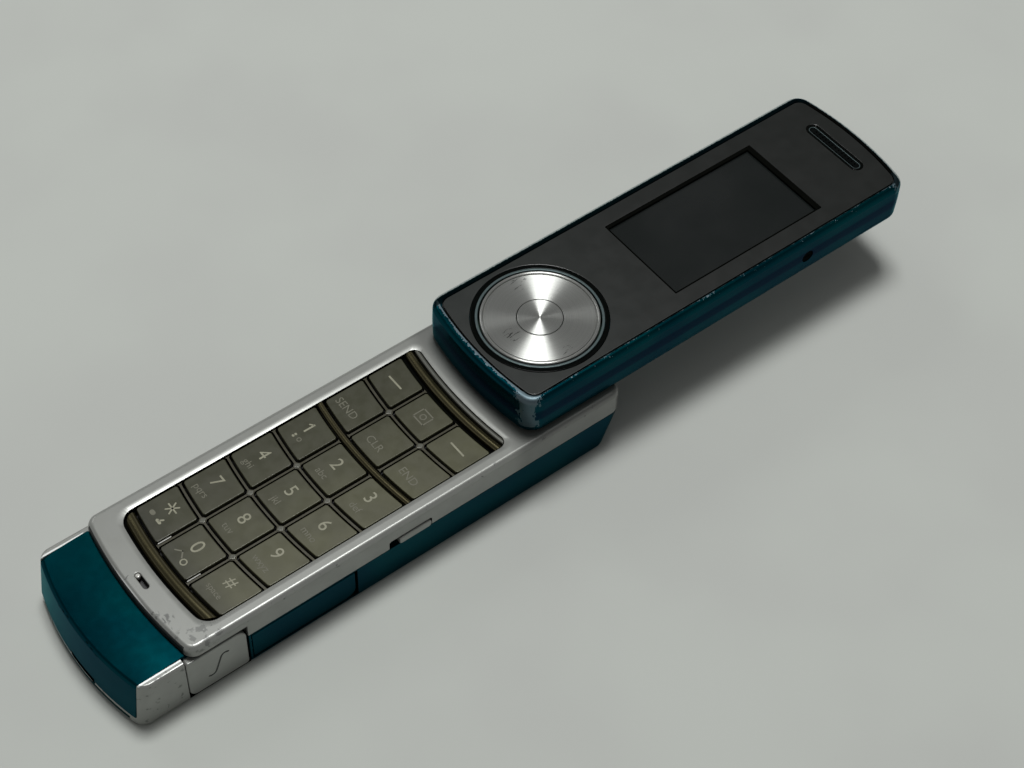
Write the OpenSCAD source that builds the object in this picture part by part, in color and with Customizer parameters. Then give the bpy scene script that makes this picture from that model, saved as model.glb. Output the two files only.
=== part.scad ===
// Swivel phone: a keypad base that carries a screen lid on a vertical swivel.
// The origin is on the swivel axis, on the plane that the base rests on.
// +X points to the ear end of the open lid, +Y to the left of the keypad and +Z up.
// The phone is drawn open. A half turn of the lid about Z closes it over the keypad.

/* [Base] */
// Width of the base
base_w = 29.8; // [28.8:0.1:31]
// Height of the keypad plate above the resting plane
base_h = 12.25; // [12:0.05:13]
// From the swivel axis to the chin end
chin_reach = 83.6; // [83:0.1:86]
// From the swivel axis to the far end of the base
far_reach = 11; // [10.6:0.1:13]
// Radius of the bowed chin end
chin_bow = 51; // [40:1:80]
// Radius of the bowed far end
far_bow = 100; // [60:1:150]
// Corner radius of the base in plan
base_corner = 2.2; // [1.6:0.1:3]
// Wall thickness of the base shells
wall = 1.3; // [1.1:0.05:1.5]
// Height of the seam between the rear case and the front frame
seam_h = 7.5; // [7.2:0.1:8]
// How far the far end leans in from the seam to the bottom
far_lean = 2.9; // [1:0.1:3.5]
// Thickness of the keypad plate
plate_t = 1.2; // [1:0.05:1.3]

/* [Chin] */
// Length of the chin beyond the keypad plate
chin_l = 10.3; // [9.4:0.1:10.9]
// Radius of the bowed step
plate_bow = 80; // [60:1:120]
// How far the chin cap lies below the plate
chin_drop = 1.75; // [1.5:0.05:2]
// How far the silver cheeks lie below the chin cap
cheek_drop = 0.3; // [0.2:0.05:0.8]
// Width of each cheek
cheek_w = 1.15; // [1.1:0.05:1.5]
// Length of the nail slot over the chin rim
nail_slot_l = 6.5; // [4:0.5:8]

/* [Keypad] */
// Width of the plate beside the keypad recess
side_rim_w = 2.7; // [2.3:0.1:2.9]
// Width of the plate between its chin end and the keypad recess
near_rim_w = 5.4; // [5:0.1:6]
// From the swivel axis to the far end of the recess
recess_far = 12.9; // [12:0.1:13.2]
// Width of the gap from key to key, with the lattice bar in it
key_gap = 1.1; // [1:0.05:1.3]
// Width of a lattice bar
bar_w = 0.5; // [0.35:0.05:0.6]
// Length of the bar at the chin end of the keypad
near_bar_l = 2.3; // [2:0.1:2.6]
// Length of the bar between the number keys and the function keys
mid_bar_l = 1.9; // [1.6:0.1:2.2]
// Length of the bar at the far end of the keypad
far_bar_l = 2.1; // [1.8:0.1:2.4]
// Radius of the bowed key rows
row_bow = 75; // [50:1:120]
// Chamfer at the key corners
key_chamfer = 0.55; // [0.3:0.05:0.8]
// Travel of a key
key_travel = 0.3; // [0.2:0.05:0.3]
// Length of the microphone slot
mic_slot_l = 3.3; // [2:0.1:5]
// Width of the microphone slot
mic_slot_w = 0.9; // [0.6:0.1:1.2]

/* [Side doors and switches] */
// Length of the headset door
headset_door_l = 10.7; // [10:0.1:11.5]
// Length of the port door
port_door_l = 19.1; // [16:0.1:20]
// How far the port door stays below the seam
port_drop = 0.3; // [0.25:0.05:1]
// Radius of a door knuckle
knuckle_r = 0.6; // [0.5:0.05:0.6]
// Radius of a door pin
pin_r = 0.25; // [0.2:0.01:0.28]
// Length of the hold slider
slider_l = 6.2; // [5:0.1:6.4]
// Travel of the hold slider
slider_travel = 1.6; // [1:0.1:1.6]
// Length of the volume rocker
rocker_l = 12; // [9:0.5:13]
// Height of the volume rocker
rocker_h = 2.6; // [2:0.1:3]

/* [Battery] */
// Width of the base beside the battery
battery_side = 3.2; // [3:0.1:4]
// From the middle of the connector to the battery
battery_lead = 9.8; // [9:0.1:14]
// Width of the base beside the battery cover
cover_side = 2.6; // [2.3:0.1:2.8]
// From the far end of the base to the battery cover
cover_margin = 14.2; // [13:0.1:16]
// Thickness of the battery cover
cover_t = 1.1; // [0.9:0.05:1.2]

/* [Swivel] */
// Outer radius of the hollow swivel shaft
shaft_r = 3.95; // [3.6:0.05:4.2]
// Radius of the bore in the hollow shaft
shaft_bore_r = 2.6; // [2.2:0.1:2.8]
// Radial clearance of a running fit
running_fit = 0.05; // [0.03:0.01:0.08]
// Radius of the swivel flange
flange_r = 6; // [5.6:0.1:6.4]
// Angle that the lid turns
swivel_angle = 180; // [170:1:180]

/* [Lid] */
// Width of the lid
lid_w = 27.4; // [26.8:0.1:28.4]
// Thickness of the lid
lid_t = 7.75; // [7.6:0.05:8.5]
// Gap between the plate and the lid
lid_gap = 0.3; // [0.2:0.05:0.5]
// From the swivel axis to the wheel end of the lid
lid_near = 9.7; // [9.5:0.1:10.4]
// From the swivel axis to the ear end of the lid
lid_far = 74.6; // [74.2:0.1:76]
// Radius of both bowed lid ends
lid_bow = 60; // [50:1:90]
// Corner radius of the lid in plan
lid_corner = 3.2; // [2.6:0.1:3.6]
// Thickness of the lid walls
lid_wall = 1.3; // [1.1:0.05:1.4]
// Thickness of the face panel
panel_t = 0.9; // [0.8:0.05:1.1]
// Width of the teal edge round the face panel
panel_edge = 1.2; // [1.1:0.05:1.3]

/* [Screen and ear] */
// From the display window to the ear end of the lid
window_margin = 17.2; // [16.8:0.1:20]
// Width of the lid beside the display window
window_side = 4.6; // [4.1:0.1:5.5]
// From the swivel axis to the near edge of the display window
window_x = 25.1; // [24.8:0.1:26]
// Length of the ear slot
ear_l = 13.2; // [9:0.1:13.6]
// Width of the ear slot
ear_w = 2.6; // [2.2:0.1:2.8]
// From the middle of the ear slot to the ear end of the lid
ear_inset = 5.6; // [5.4:0.1:6.2]

/* [Wheel] */
// From the swivel axis to the wheel centre
wheel_x = 4.2; // [4:0.1:4.4]
// Width of the lid beside the ring round the wheel
wheel_side = 2.4; // [2.2:0.1:2.8]
// Radius of the centre button
button_r = 3.7; // [3.2:0.1:3.8]
// Width of the ring round the wheel, with its gap
trim_w = 1.5; // [1.2:0.05:1.8]
// Travel of the centre button
button_travel = 0.3; // [0.2:0.05:0.3]

/* [Hidden] */
$fn = 96;

// Small gaps
fit_gap = 0.1;
door_gap = 0.15;
slide_gap = 0.15;
seat_gap = 0.05;
cut = 0.2;
sliver = 0.01;

// Steps along the arcs of the outlines
bow_steps = 12;
corner_steps = 5;
key_steps = 3;

// Heights in the base
plate_z = base_h - plate_t;
chin_h = base_h - chin_drop;
cheek_h = chin_h - cheek_drop;
over_cheek = cheek_h + fit_gap;
recess_floor = 1.25;
recess_floor_t = 0.8;
floor_top = recess_floor + recess_floor_t;
chin_roof_t = 1.2;

// Lengths and widths in the base
plate_reach = chin_reach - chin_l;
base_inner_half = base_w / 2 - wall;
recess_half = base_w / 2 - side_rim_w;
recess_near = plate_reach - near_rim_w;
cover_x1 = far_reach - cover_margin;
cover_w = base_w - 2 * cover_side;

// Boards, from the plate down
key_board_z = plate_z - 1.9;
key_board_t = 0.5;
dome_h = 0.15;
dome_r = 1.9;
mat_z = key_board_z + key_board_t + dome_h + seat_gap;
mat_t = 0.25;
board_t = 0.7;
can_h = 1.15;
board_z = key_board_z - fit_gap - can_h - board_t;
board_half = base_inner_half - 0.7;
board_x0 = -plate_reach + 1.8;
can_x0 = board_x0 + 10;
can_x1 = -recess_far - 2.6;
can_gap = 2;
can_l = (can_x1 - can_x0 - can_gap) / 2;
can_half = board_half - 3.2;

// Microphone
mic_x = -(plate_reach + recess_near) / 2 - 0.2;

// Keys
key_z = mat_z + mat_t + key_travel + seat_gap;
key_top = base_h - 0.35;
key_bevel = 0.2;
key_outer_half = recess_half - 0.25;
column_pitch = (2 * key_outer_half + key_gap) / 3;
column_edges = [
  [column_pitch / 2 + key_gap / 2, key_outer_half],
  [-column_pitch / 2 + key_gap / 2, column_pitch / 2 - key_gap / 2],
  [-key_outer_half, -column_pitch / 2 - key_gap / 2]
];
keypad_l = recess_near - near_bar_l - recess_far - far_bar_l;
row_mean_l = (keypad_l - 4 * key_gap - mid_bar_l) / 6;
row_extras = [-0.03, 0.17, 0.17, -0.03, -0.14, -0.14];
row_gaps = [0, key_gap, key_gap, key_gap, mid_bar_l, key_gap];
function sum_to(list, n) = n < 0 ? 0 : list[n] + sum_to(list, n - 1);
row_lengths = [for (e = row_extras) row_mean_l + e];
row_starts = [
  for (i = [0 : 5])
    near_bar_l - recess_near + sum_to(row_lengths, i - 1) + sum_to(row_gaps, i)
];
lattice_gap = (key_gap - bar_w) / 2;
lattice_top = base_h - 0.5;
lattice_lip = 0.7;
lattice_lip_t = 0.5;
recess_near_corner = 2.8;
recess_far_corner = 1.5;

// Side doors
door_t = 2 * knuckle_r;
door_y = -base_w / 2 + knuckle_r;
door_back_y = door_y + knuckle_r + door_gap;
door_back_t = 0.6;
headset_x0 = -plate_reach + 0.25;
headset_z0 = 0.6;
headset_axis_x = headset_x0 + knuckle_r + door_gap;
bracket_reach = -headset_x0 - headset_door_l - door_gap - fit_gap;
port_x0 = -bracket_reach + 0.3;
port_z0 = 1.2;
port_door_h = seam_h - port_drop - port_z0;
port_axis_x = port_x0 + knuckle_r + door_gap;
ear_t = 1;
jack_r = 1.8;
jack_half = headset_door_l / 2 - 0.75;
jack_inner_y = -base_inner_half + 12.1;
jack_x = headset_x0 + headset_door_l / 2;
jack_z = (floor_top + board_z) / 2;
connector_x = port_x0 + port_door_l / 2 + 0.25;
connector_l = 9.8;
connector_h = 1.7;
connector_inner_y = -base_inner_half + 6.9;
connector_z = board_z - 2.4;

// Battery bay
battery_x0 = connector_x + battery_lead;
battery_x1 = cover_x1 - 1.4;
battery_w = base_w - 2 * battery_side;
battery_z = cover_t + 0.25;
bay_gap = 0.3;
bay_wall = 0.7;
bay_roof = 0.6;
bay_h = board_z - 0.3 - bay_roof;
battery_t = bay_h - battery_z - bay_gap + seat_gap;

// Hold slider and volume rocker
slider_offset = 14.3;
slider_x1 = port_x0 + port_door_l + slider_offset;
slider_h = 1.6;
slider_z = seam_h + slide_gap;
slider_proud = 0.25;
slider_flange = 0.6;
rocker_x = connector_x;
rocker_z = seam_h - rocker_h - 0.8;
rocker_t = 1.4;
rocker_proud = 0.3;
rocker_play = 0.3;
rocker_lug_r = 0.85;
rocker_pin_r = 0.35;
rocker_pin_y = base_w / 2 + rocker_proud - rocker_t - rocker_lug_r / 2;

// Swivel
shaft_hole_r = shaft_r + running_fit;
plate_hole_r = flange_r + 0.2;
swivel_plate_t = 0.95;
swivel_plate_z = plate_z - swivel_plate_t;
flange_z = plate_z + seat_gap;
groove_depth = 0.55;
clip_t = 0.35;
clip_z = swivel_plate_z - seat_gap - clip_t;
stop_arm = 2;
stop_half_w = 0.9;
stop_play = 2;
swivel_disc_r = flange_r + stop_arm + 0.8;
stop_turn = asin(stop_half_w / flange_r) + stop_play;

// Screws
screw_r = 0.5;
head_r = 1.05;
head_t = 0.5;
boss_r = 1.4;
chin_screw_x = -(chin_reach + plate_reach) / 2 + 1.25;
far_screw_x = far_reach - 6.4;
case_screw_y = base_inner_half - 2.4;
board_x1 = far_screw_x - boss_r - 0.2;

// Loudspeaker
speaker_x0 = battery_x1 + bay_gap + bay_wall + 0.5;
speaker_x1 = far_reach - 5.8;
speaker_half = case_screw_y - boss_r - 2.7;
speaker_step = 0.7;
sound_hole_x = (speaker_x0 + speaker_x1) / 2 + 1.5;
sound_hole_pitch = 2.3;
sound_hole_r = 0.45;

// Vibration motor
motor_x = -plate_reach - 0.7;
motor_r = 2.2;
motor_y = base_inner_half - motor_r - 1.9;
motor_l = 9;
motor_weight_l = 3;
motor_z = floor_top + seat_gap + motor_r;

// Antenna
antenna_x0 = -chin_reach + 2.8;
antenna_x1 = -plate_reach - 2.2;
antenna_half = case_screw_y - boss_r - 0.9;

// Heights in the lid
lid_z = base_h + lid_gap;
lid_top = lid_z + lid_t;
lid_floor = 1.2;
lid_floor_z = lid_z + lid_floor;
lid_seam = lid_floor_z + seat_gap;
panel_z = lid_top - 0.1 - panel_t;
panel_gap = 0.15;
ledge_t = 0.7;
ledge_w = 1;
lid_board_z = lid_floor_z + 1.45;
lid_board_t = 0.6;
lid_board_top = lid_board_z + lid_board_t;
lid_board_x1 = lid_far - 15.1;
deck_z = panel_z - 2;
deck_t = 0.8;
deck_top = deck_z + deck_t;
wheel_hole_r = lid_w / 2 - wheel_side;
wheel_r = wheel_hole_r - trim_w;
deck_r = wheel_hole_r + 0.6;
window_l = lid_far - window_margin - window_x;
window_w = lid_w - 2 * window_side;
ear_x = lid_far - ear_inset;
wheel_z = panel_z + 0.15;
wheel_top = lid_top + 0.05;
hub_r = button_r + 1.25;
skirt_wall = 1.2;
button_clear = 0.15;
stem_r = button_r - 0.1;
button_top = lid_top - seat_gap;
button_switch_h = 1.2;
lid_screw_xs = [-lid_near + 5.1, lid_far - 7.4];
lid_screw_y = lid_w / 2 - 3.8;
camera_x = lid_far - 11.1;
camera_half = 3.1;
camera_hole_r = 2.2;
camera_glass_r = 3.2;
camera_glass_t = 0.7;
plug_x = lid_far - 23.9;
plug_r = 1.15;
plug_depth = 0.9;
plug_z = lid_z + 0.48 * lid_t;
crease_z = lid_z + 0.5 * lid_t;

// Outlines: [near x, far x, width, near bow, far bow, near corner, far corner]
base_plan = [-chin_reach, far_reach, base_w, chin_bow, far_bow, base_corner, base_corner];
front_plan = [-plate_reach, far_reach, base_w, plate_bow, far_bow, base_corner, base_corner];
lid_plan = [-lid_near, lid_far, lid_w, lid_bow, lid_bow, lid_corner, lid_corner];

function inset(p, near, far, side) = [
  p[0] + near, p[1] - far, p[2] - 2 * side, p[3] - near, p[4] - far,
  max(p[5] - side, 0.4), max(p[6] - side, 0.4)
];
function arc(x, r, a0, a1, n, y = 0) = [
  for (i = [0 : n]) let (a = a0 + (a1 - a0) * i / n) [x + r * cos(a), y + r * sin(a)]
];
// One bowed end with its two rounded corners, from the -Y side to the +Y side
function bowed_end(x, w, bow, corner) =
  let (
    side = w / 2 - corner,
    reach = sqrt(pow(bow - corner, 2) - side * side),
    turn = atan2(side, reach),
    cx = x - bow
  )
  concat(
    arc(cx + reach, corner, -90, -turn, corner_steps, -side),
    [
      for (i = [1 : bow_steps - 1])
        let (a = -turn + 2 * turn * i / bow_steps)
        [cx + bow * cos(a), bow * sin(a)]
    ],
    arc(cx + reach, corner, turn, 90, corner_steps, side)
  );
function outline(p) = concat(
  bowed_end(p[1], p[2], p[4], p[6]),
  [for (q = bowed_end(-p[0], p[2], p[3], p[5])) -q]
);
// How far a bowed row runs back from its middle at a given y
function sag(y, bow = row_bow) = bow - sqrt(bow * bow - y * y);
// A key or key opening: two bowed edges and four chamfered corners
function key_outline(x0, x1, y0, y1, c) = concat(
  [for (i = [0 : key_steps]) let (y = y1 - c - (y1 - y0 - 2 * c) * i / key_steps) [x0 + sag(y), y]],
  [[x0 + sag(y0) + c, y0], [x1 + sag(y0) - c, y0]],
  [for (i = [0 : key_steps]) let (y = y0 + c + (y1 - y0 - 2 * c) * i / key_steps) [x1 + sag(y), y]],
  [[x1 + sag(y1) - c, y1], [x0 + sag(y1) + c, y1]]
);

module slab(p, z0, z1) {
  translate([0, 0, z0]) linear_extrude(z1 - z0) polygon(outline(p));
}

// A shell form with rounded edges: rows of [height, near, far, side], each an inset of the outline
module form(p, rows) {
  hull()
    for (r = rows)
      translate([0, 0, r[0] - (r[0] > rows[0][0] ? sliver : 0)])
        linear_extrude(sliver) polygon(outline(inset(p, r[1], r[2], r[3])));
}

module block(x0, x1, y0, y1, z0, z1) {
  translate([x0, y0, z0]) cube([x1 - x0, y1 - y0, z1 - z0]);
}

module upright(x, y, r, z0, z1) {
  translate([x, y, z0]) cylinder(r = r, h = z1 - z0);
}

module rounded_bar(x, l, w, z0, z1) {
  translate([x, 0, z0])
    linear_extrude(z1 - z0)
      union() {
        square([w, l - w], center = true);
        for (s = [-1, 1]) translate([0, s * (l - w) / 2]) circle(d = w);
      }
}

// ---- Forms of the base ----

module rear_form() {
  form(base_plan, [
    [0, 0.9, far_lean + 1, 1.2], [0.35, 0.35, far_lean + 0.35, 0.5], [1.2, 0, far_lean - 0.4, 0.02],
    [seam_h, 0.8, 0, 0]
  ]);
}

module chin_form(top) {
  form(base_plan, [
    [0, 0.9, 0, 1.2], [0.35, 0.35, 0, 0.5], [1.2, 0, 0, 0.02], [top - 1, 1.1, 0, 0],
    [top - 0.35, 1.4, 0, 0.1], [top - 0.1, 1.8, 0, 0.3], [top, 2.3, 0, 0.6]
  ]);
}

module front_form() {
  form(front_plan, [
    [seam_h + seat_gap, 0.06, 0.06, 0.06], [base_h - 0.7, 0, 0, 0], [base_h - 0.3, 0.12, 0.12, 0.12],
    [base_h - 0.1, 0.3, 0.3, 0.3], [base_h, 0.65, 0.65, 0.65]
  ]);
}

// ---- Base shells ----

module rear_case() color("teal") difference() {
  union() {
    difference() {
      rear_form();
      slab(inset(base_plan, 0, wall + far_lean, wall), floor_top, seam_h + cut);
      block(-chin_reach - 1, -bracket_reach, -base_w, base_w, -cut, seam_h + cut);
      cover_recess();
      port_opening();
      rocker_opening();
    }
    battery_bay();
    for (s = [-1, 1])
      upright(far_screw_x, s * case_screw_y, boss_r, recess_floor, board_z - 1);
    door_back(-bracket_reach, port_x0 + port_door_l + 3 * door_gap, seam_h);
    door_hinge_ears(port_axis_x, port_z0, port_door_h);
    upright(rocker_x, rocker_pin_y, rocker_pin_r, floor_top - cut, rocker_z + rocker_h);
  }
  connector_hole();
  block(battery_x0 - bay_gap, battery_x1 + bay_gap, -battery_w / 2 - bay_gap, battery_w / 2 + bay_gap,
    -cut, bay_h);
  for (s = [-1, 1]) {
    upright(far_screw_x, s * case_screw_y, screw_r, -cut, board_z);
    upright(far_screw_x, s * case_screw_y, head_r + fit_gap, -cut, head_t + fit_gap);
  }
  sound_holes(-cut, floor_top + cut);
}

// Room in the underside for the battery cover, open at the chin end
module cover_recess() {
  block(-chin_reach - 1, cover_x1 + slide_gap,
    -cover_w / 2 - slide_gap, cover_w / 2 + slide_gap, -cut, recess_floor);
}

module battery_bay() {
  block(battery_x0 - bay_gap - bay_wall, battery_x1 + bay_gap + bay_wall,
    -battery_w / 2 - bay_gap - bay_wall, battery_w / 2 + bay_gap + bay_wall, recess_floor, bay_h + bay_roof);
}

module port_opening() {
  block(port_x0, port_x0 + port_door_l + 2 * door_gap, -base_w, door_back_y,
    port_z0 - door_gap, port_z0 + port_door_h + door_gap);
}

// Row of holes under the loudspeaker
module sound_holes(z0, z1) {
  for (i = [-2 : 2]) upright(sound_hole_x, i * sound_hole_pitch, sound_hole_r, z0, z1);
}

// Wall behind a side door
module door_back(x0, x1, z1) {
  block(x0, x1, door_back_y, door_back_y + door_back_t, recess_floor, z1);
}

module connector_hole() {
  block(connector_x - connector_l / 2, connector_x + connector_l / 2, -base_w, door_back_y + 2 * door_back_t,
    connector_z, connector_z + connector_h);
}

module rocker_opening() {
  block(rocker_x - rocker_l / 2 - rocker_play, rocker_x + rocker_l / 2 + rocker_play,
    base_inner_half - 0.5, base_w, rocker_z - slide_gap, rocker_z + rocker_h + slide_gap);
}

// Two ears with a pin through them, for a side door
module door_hinge_ears(x, z0, h) {
  for (z = ear_heights(z0, h)) {
    upright(x, door_y, knuckle_r - 0.05, z, z + ear_t);
    block(x - knuckle_r + 0.1, x + knuckle_r - 0.1, door_y, door_back_y + sliver, z, z + ear_t);
  }
  upright(x, door_y, pin_r, z0 + 0.3, z0 + h - 0.3);
}

function ear_heights(z0, h) = [z0 + 0.22 * h, z0 + 0.78 * h - ear_t];

module end_bracket() color("silver") {
  difference() {
    union() {
      difference() {
        intersection() {
          chin_form(cheek_h);
          block(-chin_reach - 1, -bracket_reach - seat_gap, -base_w, base_w, -cut, cheek_h + cut);
        }
        slab(inset(base_plan, wall + 0.9, wall, cheek_w), floor_top, cheek_h + cut);
        block(-chin_reach - 1, -plate_reach + 6, -base_w / 2 + cheek_w, base_w / 2 - cheek_w,
          floor_top, cheek_h + cut);
        cover_recess();
        block(headset_x0, -bracket_reach + cut, -base_w, door_back_y, headset_z0 - door_gap, cheek_h + cut);
      }
      door_back(headset_x0 - cut, -bracket_reach - seat_gap, chin_h - chin_roof_t - fit_gap);
      door_hinge_ears(headset_axis_x, headset_z0, cheek_h - headset_z0);
    }
    jack_bore(jack_r + fit_gap);
    for (s = [-1, 1]) {
      upright(chin_screw_x, s * case_screw_y, screw_r + 0.05, 0, floor_top + cut);
      upright(chin_screw_x, s * case_screw_y, head_r + fit_gap, 0, recess_floor + head_t);
    }
  }
}

module chin_cap() color("teal") difference() {
  union() {
    difference() {
      intersection() {
        chin_form(chin_h);
        block(-chin_reach - 1, -plate_reach + 1.4, -base_w / 2 + cheek_w + seat_gap,
          base_w / 2 - cheek_w - seat_gap, floor_top + seat_gap, chin_h + cut);
      }
      slab(inset(base_plan, wall + 0.6, wall, cheek_w + 1), floor_top - cut, chin_h - chin_roof_t);
      slab(inset(front_plan, -fit_gap, 0, -1), over_cheek - fit_gap, chin_h + cut);
      // Open toward the headset socket
      block(-plate_reach - 0.4, 0, -base_w, base_w, floor_top - cut, chin_h - chin_roof_t);
    }
    for (s = [-1, 1])
      upright(chin_screw_x, s * case_screw_y, boss_r, floor_top + seat_gap, chin_h - chin_roof_t);
  }
  for (s = [-1, 1])
    upright(chin_screw_x, s * case_screw_y, screw_r, floor_top - cut, chin_h - 3);
  // Nail slot over the rim
  block(-chin_reach - 1, -chin_reach + 1.4, -nail_slot_l / 2 - 1.5, nail_slot_l / 2 - 1.5,
    floor_top, floor_top + 0.75);
}

module front_frame() color("lightgray") difference() {
  union() {
    difference() {
      front_form();
      slab(inset(front_plan, wall, wall, wall), seam_h - cut, plate_z);
      block(-plate_reach - 1, -bracket_reach, -base_w, base_w, seam_h - cut, over_cheek);
    }
    for (s = [-1, 1])
      upright(far_screw_x, s * case_screw_y, boss_r, board_z - 1 + seat_gap, plate_z + cut);
  }
  keypad_recess(0, plate_z - cut, base_h + cut);
  upright(0, 0, plate_hole_r, plate_z - cut, base_h + cut);
  stop_sweep();
  rounded_bar(mic_x, mic_slot_l, mic_slot_w, plate_z - cut, base_h + cut);
  slider_notch();
  for (s = [-1, 1])
    upright(far_screw_x, s * case_screw_y, screw_r, board_z - 2, plate_z - 0.6);
}

// Keypad opening, grown by a margin: both of its ends bow toward the chin
module keypad_recess(grow, z0, z1) {
  half = recess_half + grow;
  corner = recess_far_corner + grow;
  far = -recess_far + grow;
  arc_x = far + sag(half - corner) - corner;
  translate([0, 0, z0])
    linear_extrude(z1 - z0)
      polygon(concat(
        arc(arc_x, corner, -90, 0, corner_steps, -half + corner),
        [
          for (i = [1 : bow_steps - 1])
            let (y = (half - corner) * (2 * i / bow_steps - 1))
            [far + sag(y), y]
        ],
        arc(arc_x, corner, 0, 90, corner_steps, half - corner),
        [for (q = bowed_end(recess_near + grow, 2 * half, row_bow + grow, recess_near_corner + grow)) -q]
      ));
}

// The stop arm of the rotor turns in this annular pocket
module stop_sweep() {
  translate([0, 0, flange_z - seat_gap - cut])
    linear_extrude(base_h - flange_z + 3 * cut)
      difference() {
        circle(r = flange_r + stop_arm + 0.2);
        circle(r = flange_r - 1);
        // The part of the ring that the arm never reaches
        polygon(concat([[0, 0]], arc(0, 2 * flange_r, swivel_angle + stop_turn, 360 - stop_turn, 8)));
      }
}

module slider_notch() {
  block(slider_x1 - slider_l - slider_travel - slide_gap, slider_x1 + slide_gap,
    -base_w, -base_inner_half + cut, seam_h - cut, slider_z + slider_h + slide_gap);
}

// ---- Keypad ----

module keypad_frame() color("darkkhaki") difference() {
  union() {
    keypad_recess(-fit_gap, plate_z - seat_gap - cut, lattice_top);
    keypad_recess(lattice_lip, plate_z - seat_gap - lattice_lip_t, plate_z - seat_gap);
  }
  for (row = [0 : 5])
    for (column = [0 : 2])
      translate([0, 0, plate_z - 2])
        linear_extrude(plate_t + 3) polygon(key_points(row, column, lattice_gap));
}

function key_points(row, column, grow) = key_outline(
  row_starts[row] - grow, row_starts[row] + row_lengths[row] + grow,
  column_edges[column][0] - grow, column_edges[column][1] + grow, key_chamfer + grow / 2
);

// Plan shared by the mat and the board under the keys
module under_keys(z0, z1) {
  keypad_recess(board_half - recess_half, z0, z1);
}

module keypad_mat() color("dimgray") {
  under_keys(mat_z, mat_z + mat_t);
}

module key_board() color("darkgreen") {
  under_keys(key_board_z, key_board_z + key_board_t);
  color("silver")
    for (row = [0 : 5])
      for (column = [0 : 2])
        let (
          y = (column_edges[column][0] + column_edges[column][1]) / 2,
          x = row_starts[row] + row_lengths[row] / 2 + sag(y)
        )
        upright(x, y, dome_r, key_board_z + key_board_t, key_board_z + key_board_t + dome_h);
}

module key(row, column) color("olivedrab") {
  hull() {
    translate([0, 0, key_z]) linear_extrude(key_top - key_bevel - key_z) polygon(key_points(row, column, 0));
    translate([0, 0, key_top - sliver]) linear_extrude(sliver) polygon(key_points(row, column, -key_bevel));
  }
}

module key_star() key(0, 0);
module key_0() key(0, 1);
module key_hash() key(0, 2);
module key_7() key(1, 0);
module key_8() key(1, 1);
module key_9() key(1, 2);
module key_4() key(2, 0);
module key_5() key(2, 1);
module key_6() key(2, 2);
module key_1() key(3, 0);
module key_2() key(3, 1);
module key_3() key(3, 2);
module key_send() key(4, 0);
module key_clear() key(4, 1);
module key_end() key(4, 2);
module key_left_soft() key(5, 0);
module key_camera() key(5, 1);
module key_right_soft() key(5, 2);

// ---- Inside the base ----

module main_board() color("darkgreen") {
  block(board_x0, board_x1, -board_half, board_half, board_z, board_z + board_t);
}

module shield_cans() color("silver") {
  for (x = [can_x0, can_x0 + can_l + can_gap])
    block(x, x + can_l, -can_half, can_half, board_z + board_t, board_z + board_t + can_h);
}

module battery() color("dimgray") {
  block(battery_x0, battery_x1, -battery_w / 2, battery_w / 2, battery_z, battery_z + battery_t);
}

module headset_jack() color("black") difference() {
  block(jack_x - jack_half, jack_x + jack_half, door_back_y + door_back_t + seat_gap, jack_inner_y,
    floor_top + seat_gap, board_z - seat_gap);
  jack_bore(jack_r);
}

module jack_bore(r) {
  translate([jack_x, jack_inner_y - 1, jack_z]) rotate([90, 0, 0]) cylinder(r = r, h = base_w);
}

module charge_connector() color("silver") difference() {
  block(connector_x - connector_l / 2 - 0.6, connector_x + connector_l / 2 + 0.6,
    door_back_y + door_back_t + seat_gap, connector_inner_y, connector_z - 0.6, board_z);
  block(connector_x - connector_l / 2, connector_x + connector_l / 2, -base_w, connector_inner_y - 2.6,
    connector_z, connector_z + connector_h);
}

module microphone() color("black") {
  upright(mic_x, 0, 1.1, board_z + board_t, plate_z - 0.1);
}

module loudspeaker() color("black") difference() {
  union() {
    block(speaker_x0, speaker_x1, -speaker_half, speaker_half, floor_top + seat_gap, floor_top + 2.6);
    block(speaker_x0 + speaker_step, speaker_x1 - speaker_step, -speaker_half + speaker_step,
      speaker_half - speaker_step, floor_top + 2.5, floor_top + 3.4);
  }
  sound_holes(floor_top - cut, floor_top + 1);
}

module vibration_motor() color("silver") {
  translate([motor_x, motor_y, motor_z]) rotate([0, 90, 0]) {
    cylinder(r = motor_r, h = motor_l);
    cylinder(r = 0.4, h = motor_l + motor_weight_l);
    // Eccentric weight on the shaft
    translate([0, 0, motor_l + seat_gap])
      intersection() {
        cylinder(r = motor_r - 0.2, h = motor_weight_l);
        translate([-0.5, -motor_r, -cut]) cube([2 * motor_r, 2 * motor_r, 2 * motor_weight_l]);
      }
  }
}

module antenna() color("khaki") {
  block(antenna_x0, antenna_x1, -antenna_half, antenna_half, floor_top + seat_gap,
    chin_h - chin_roof_t - fit_gap);
}

module swivel_base_plate() color("silver") difference() {
  union() {
    block(-swivel_disc_r, far_screw_x - boss_r - 0.4, -base_inner_half + 1.5, base_inner_half - 1.5,
      swivel_plate_z, plate_z);
    upright(0, 0, swivel_disc_r, swivel_plate_z, plate_z);
  }
  upright(0, 0, shaft_hole_r, swivel_plate_z - cut, plate_z + cut);
}

module case_screws() color("silver") {
  for (s = [-1, 1]) {
    upright(chin_screw_x, s * case_screw_y, head_r, recess_floor, recess_floor + head_t);
    upright(chin_screw_x, s * case_screw_y, screw_r, recess_floor + head_t - sliver, chin_h - 4);
    upright(far_screw_x, s * case_screw_y, head_r, 0.1, head_t + fit_gap);
    upright(far_screw_x, s * case_screw_y, screw_r, head_t, plate_z - 1.5);
  }
}

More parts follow.
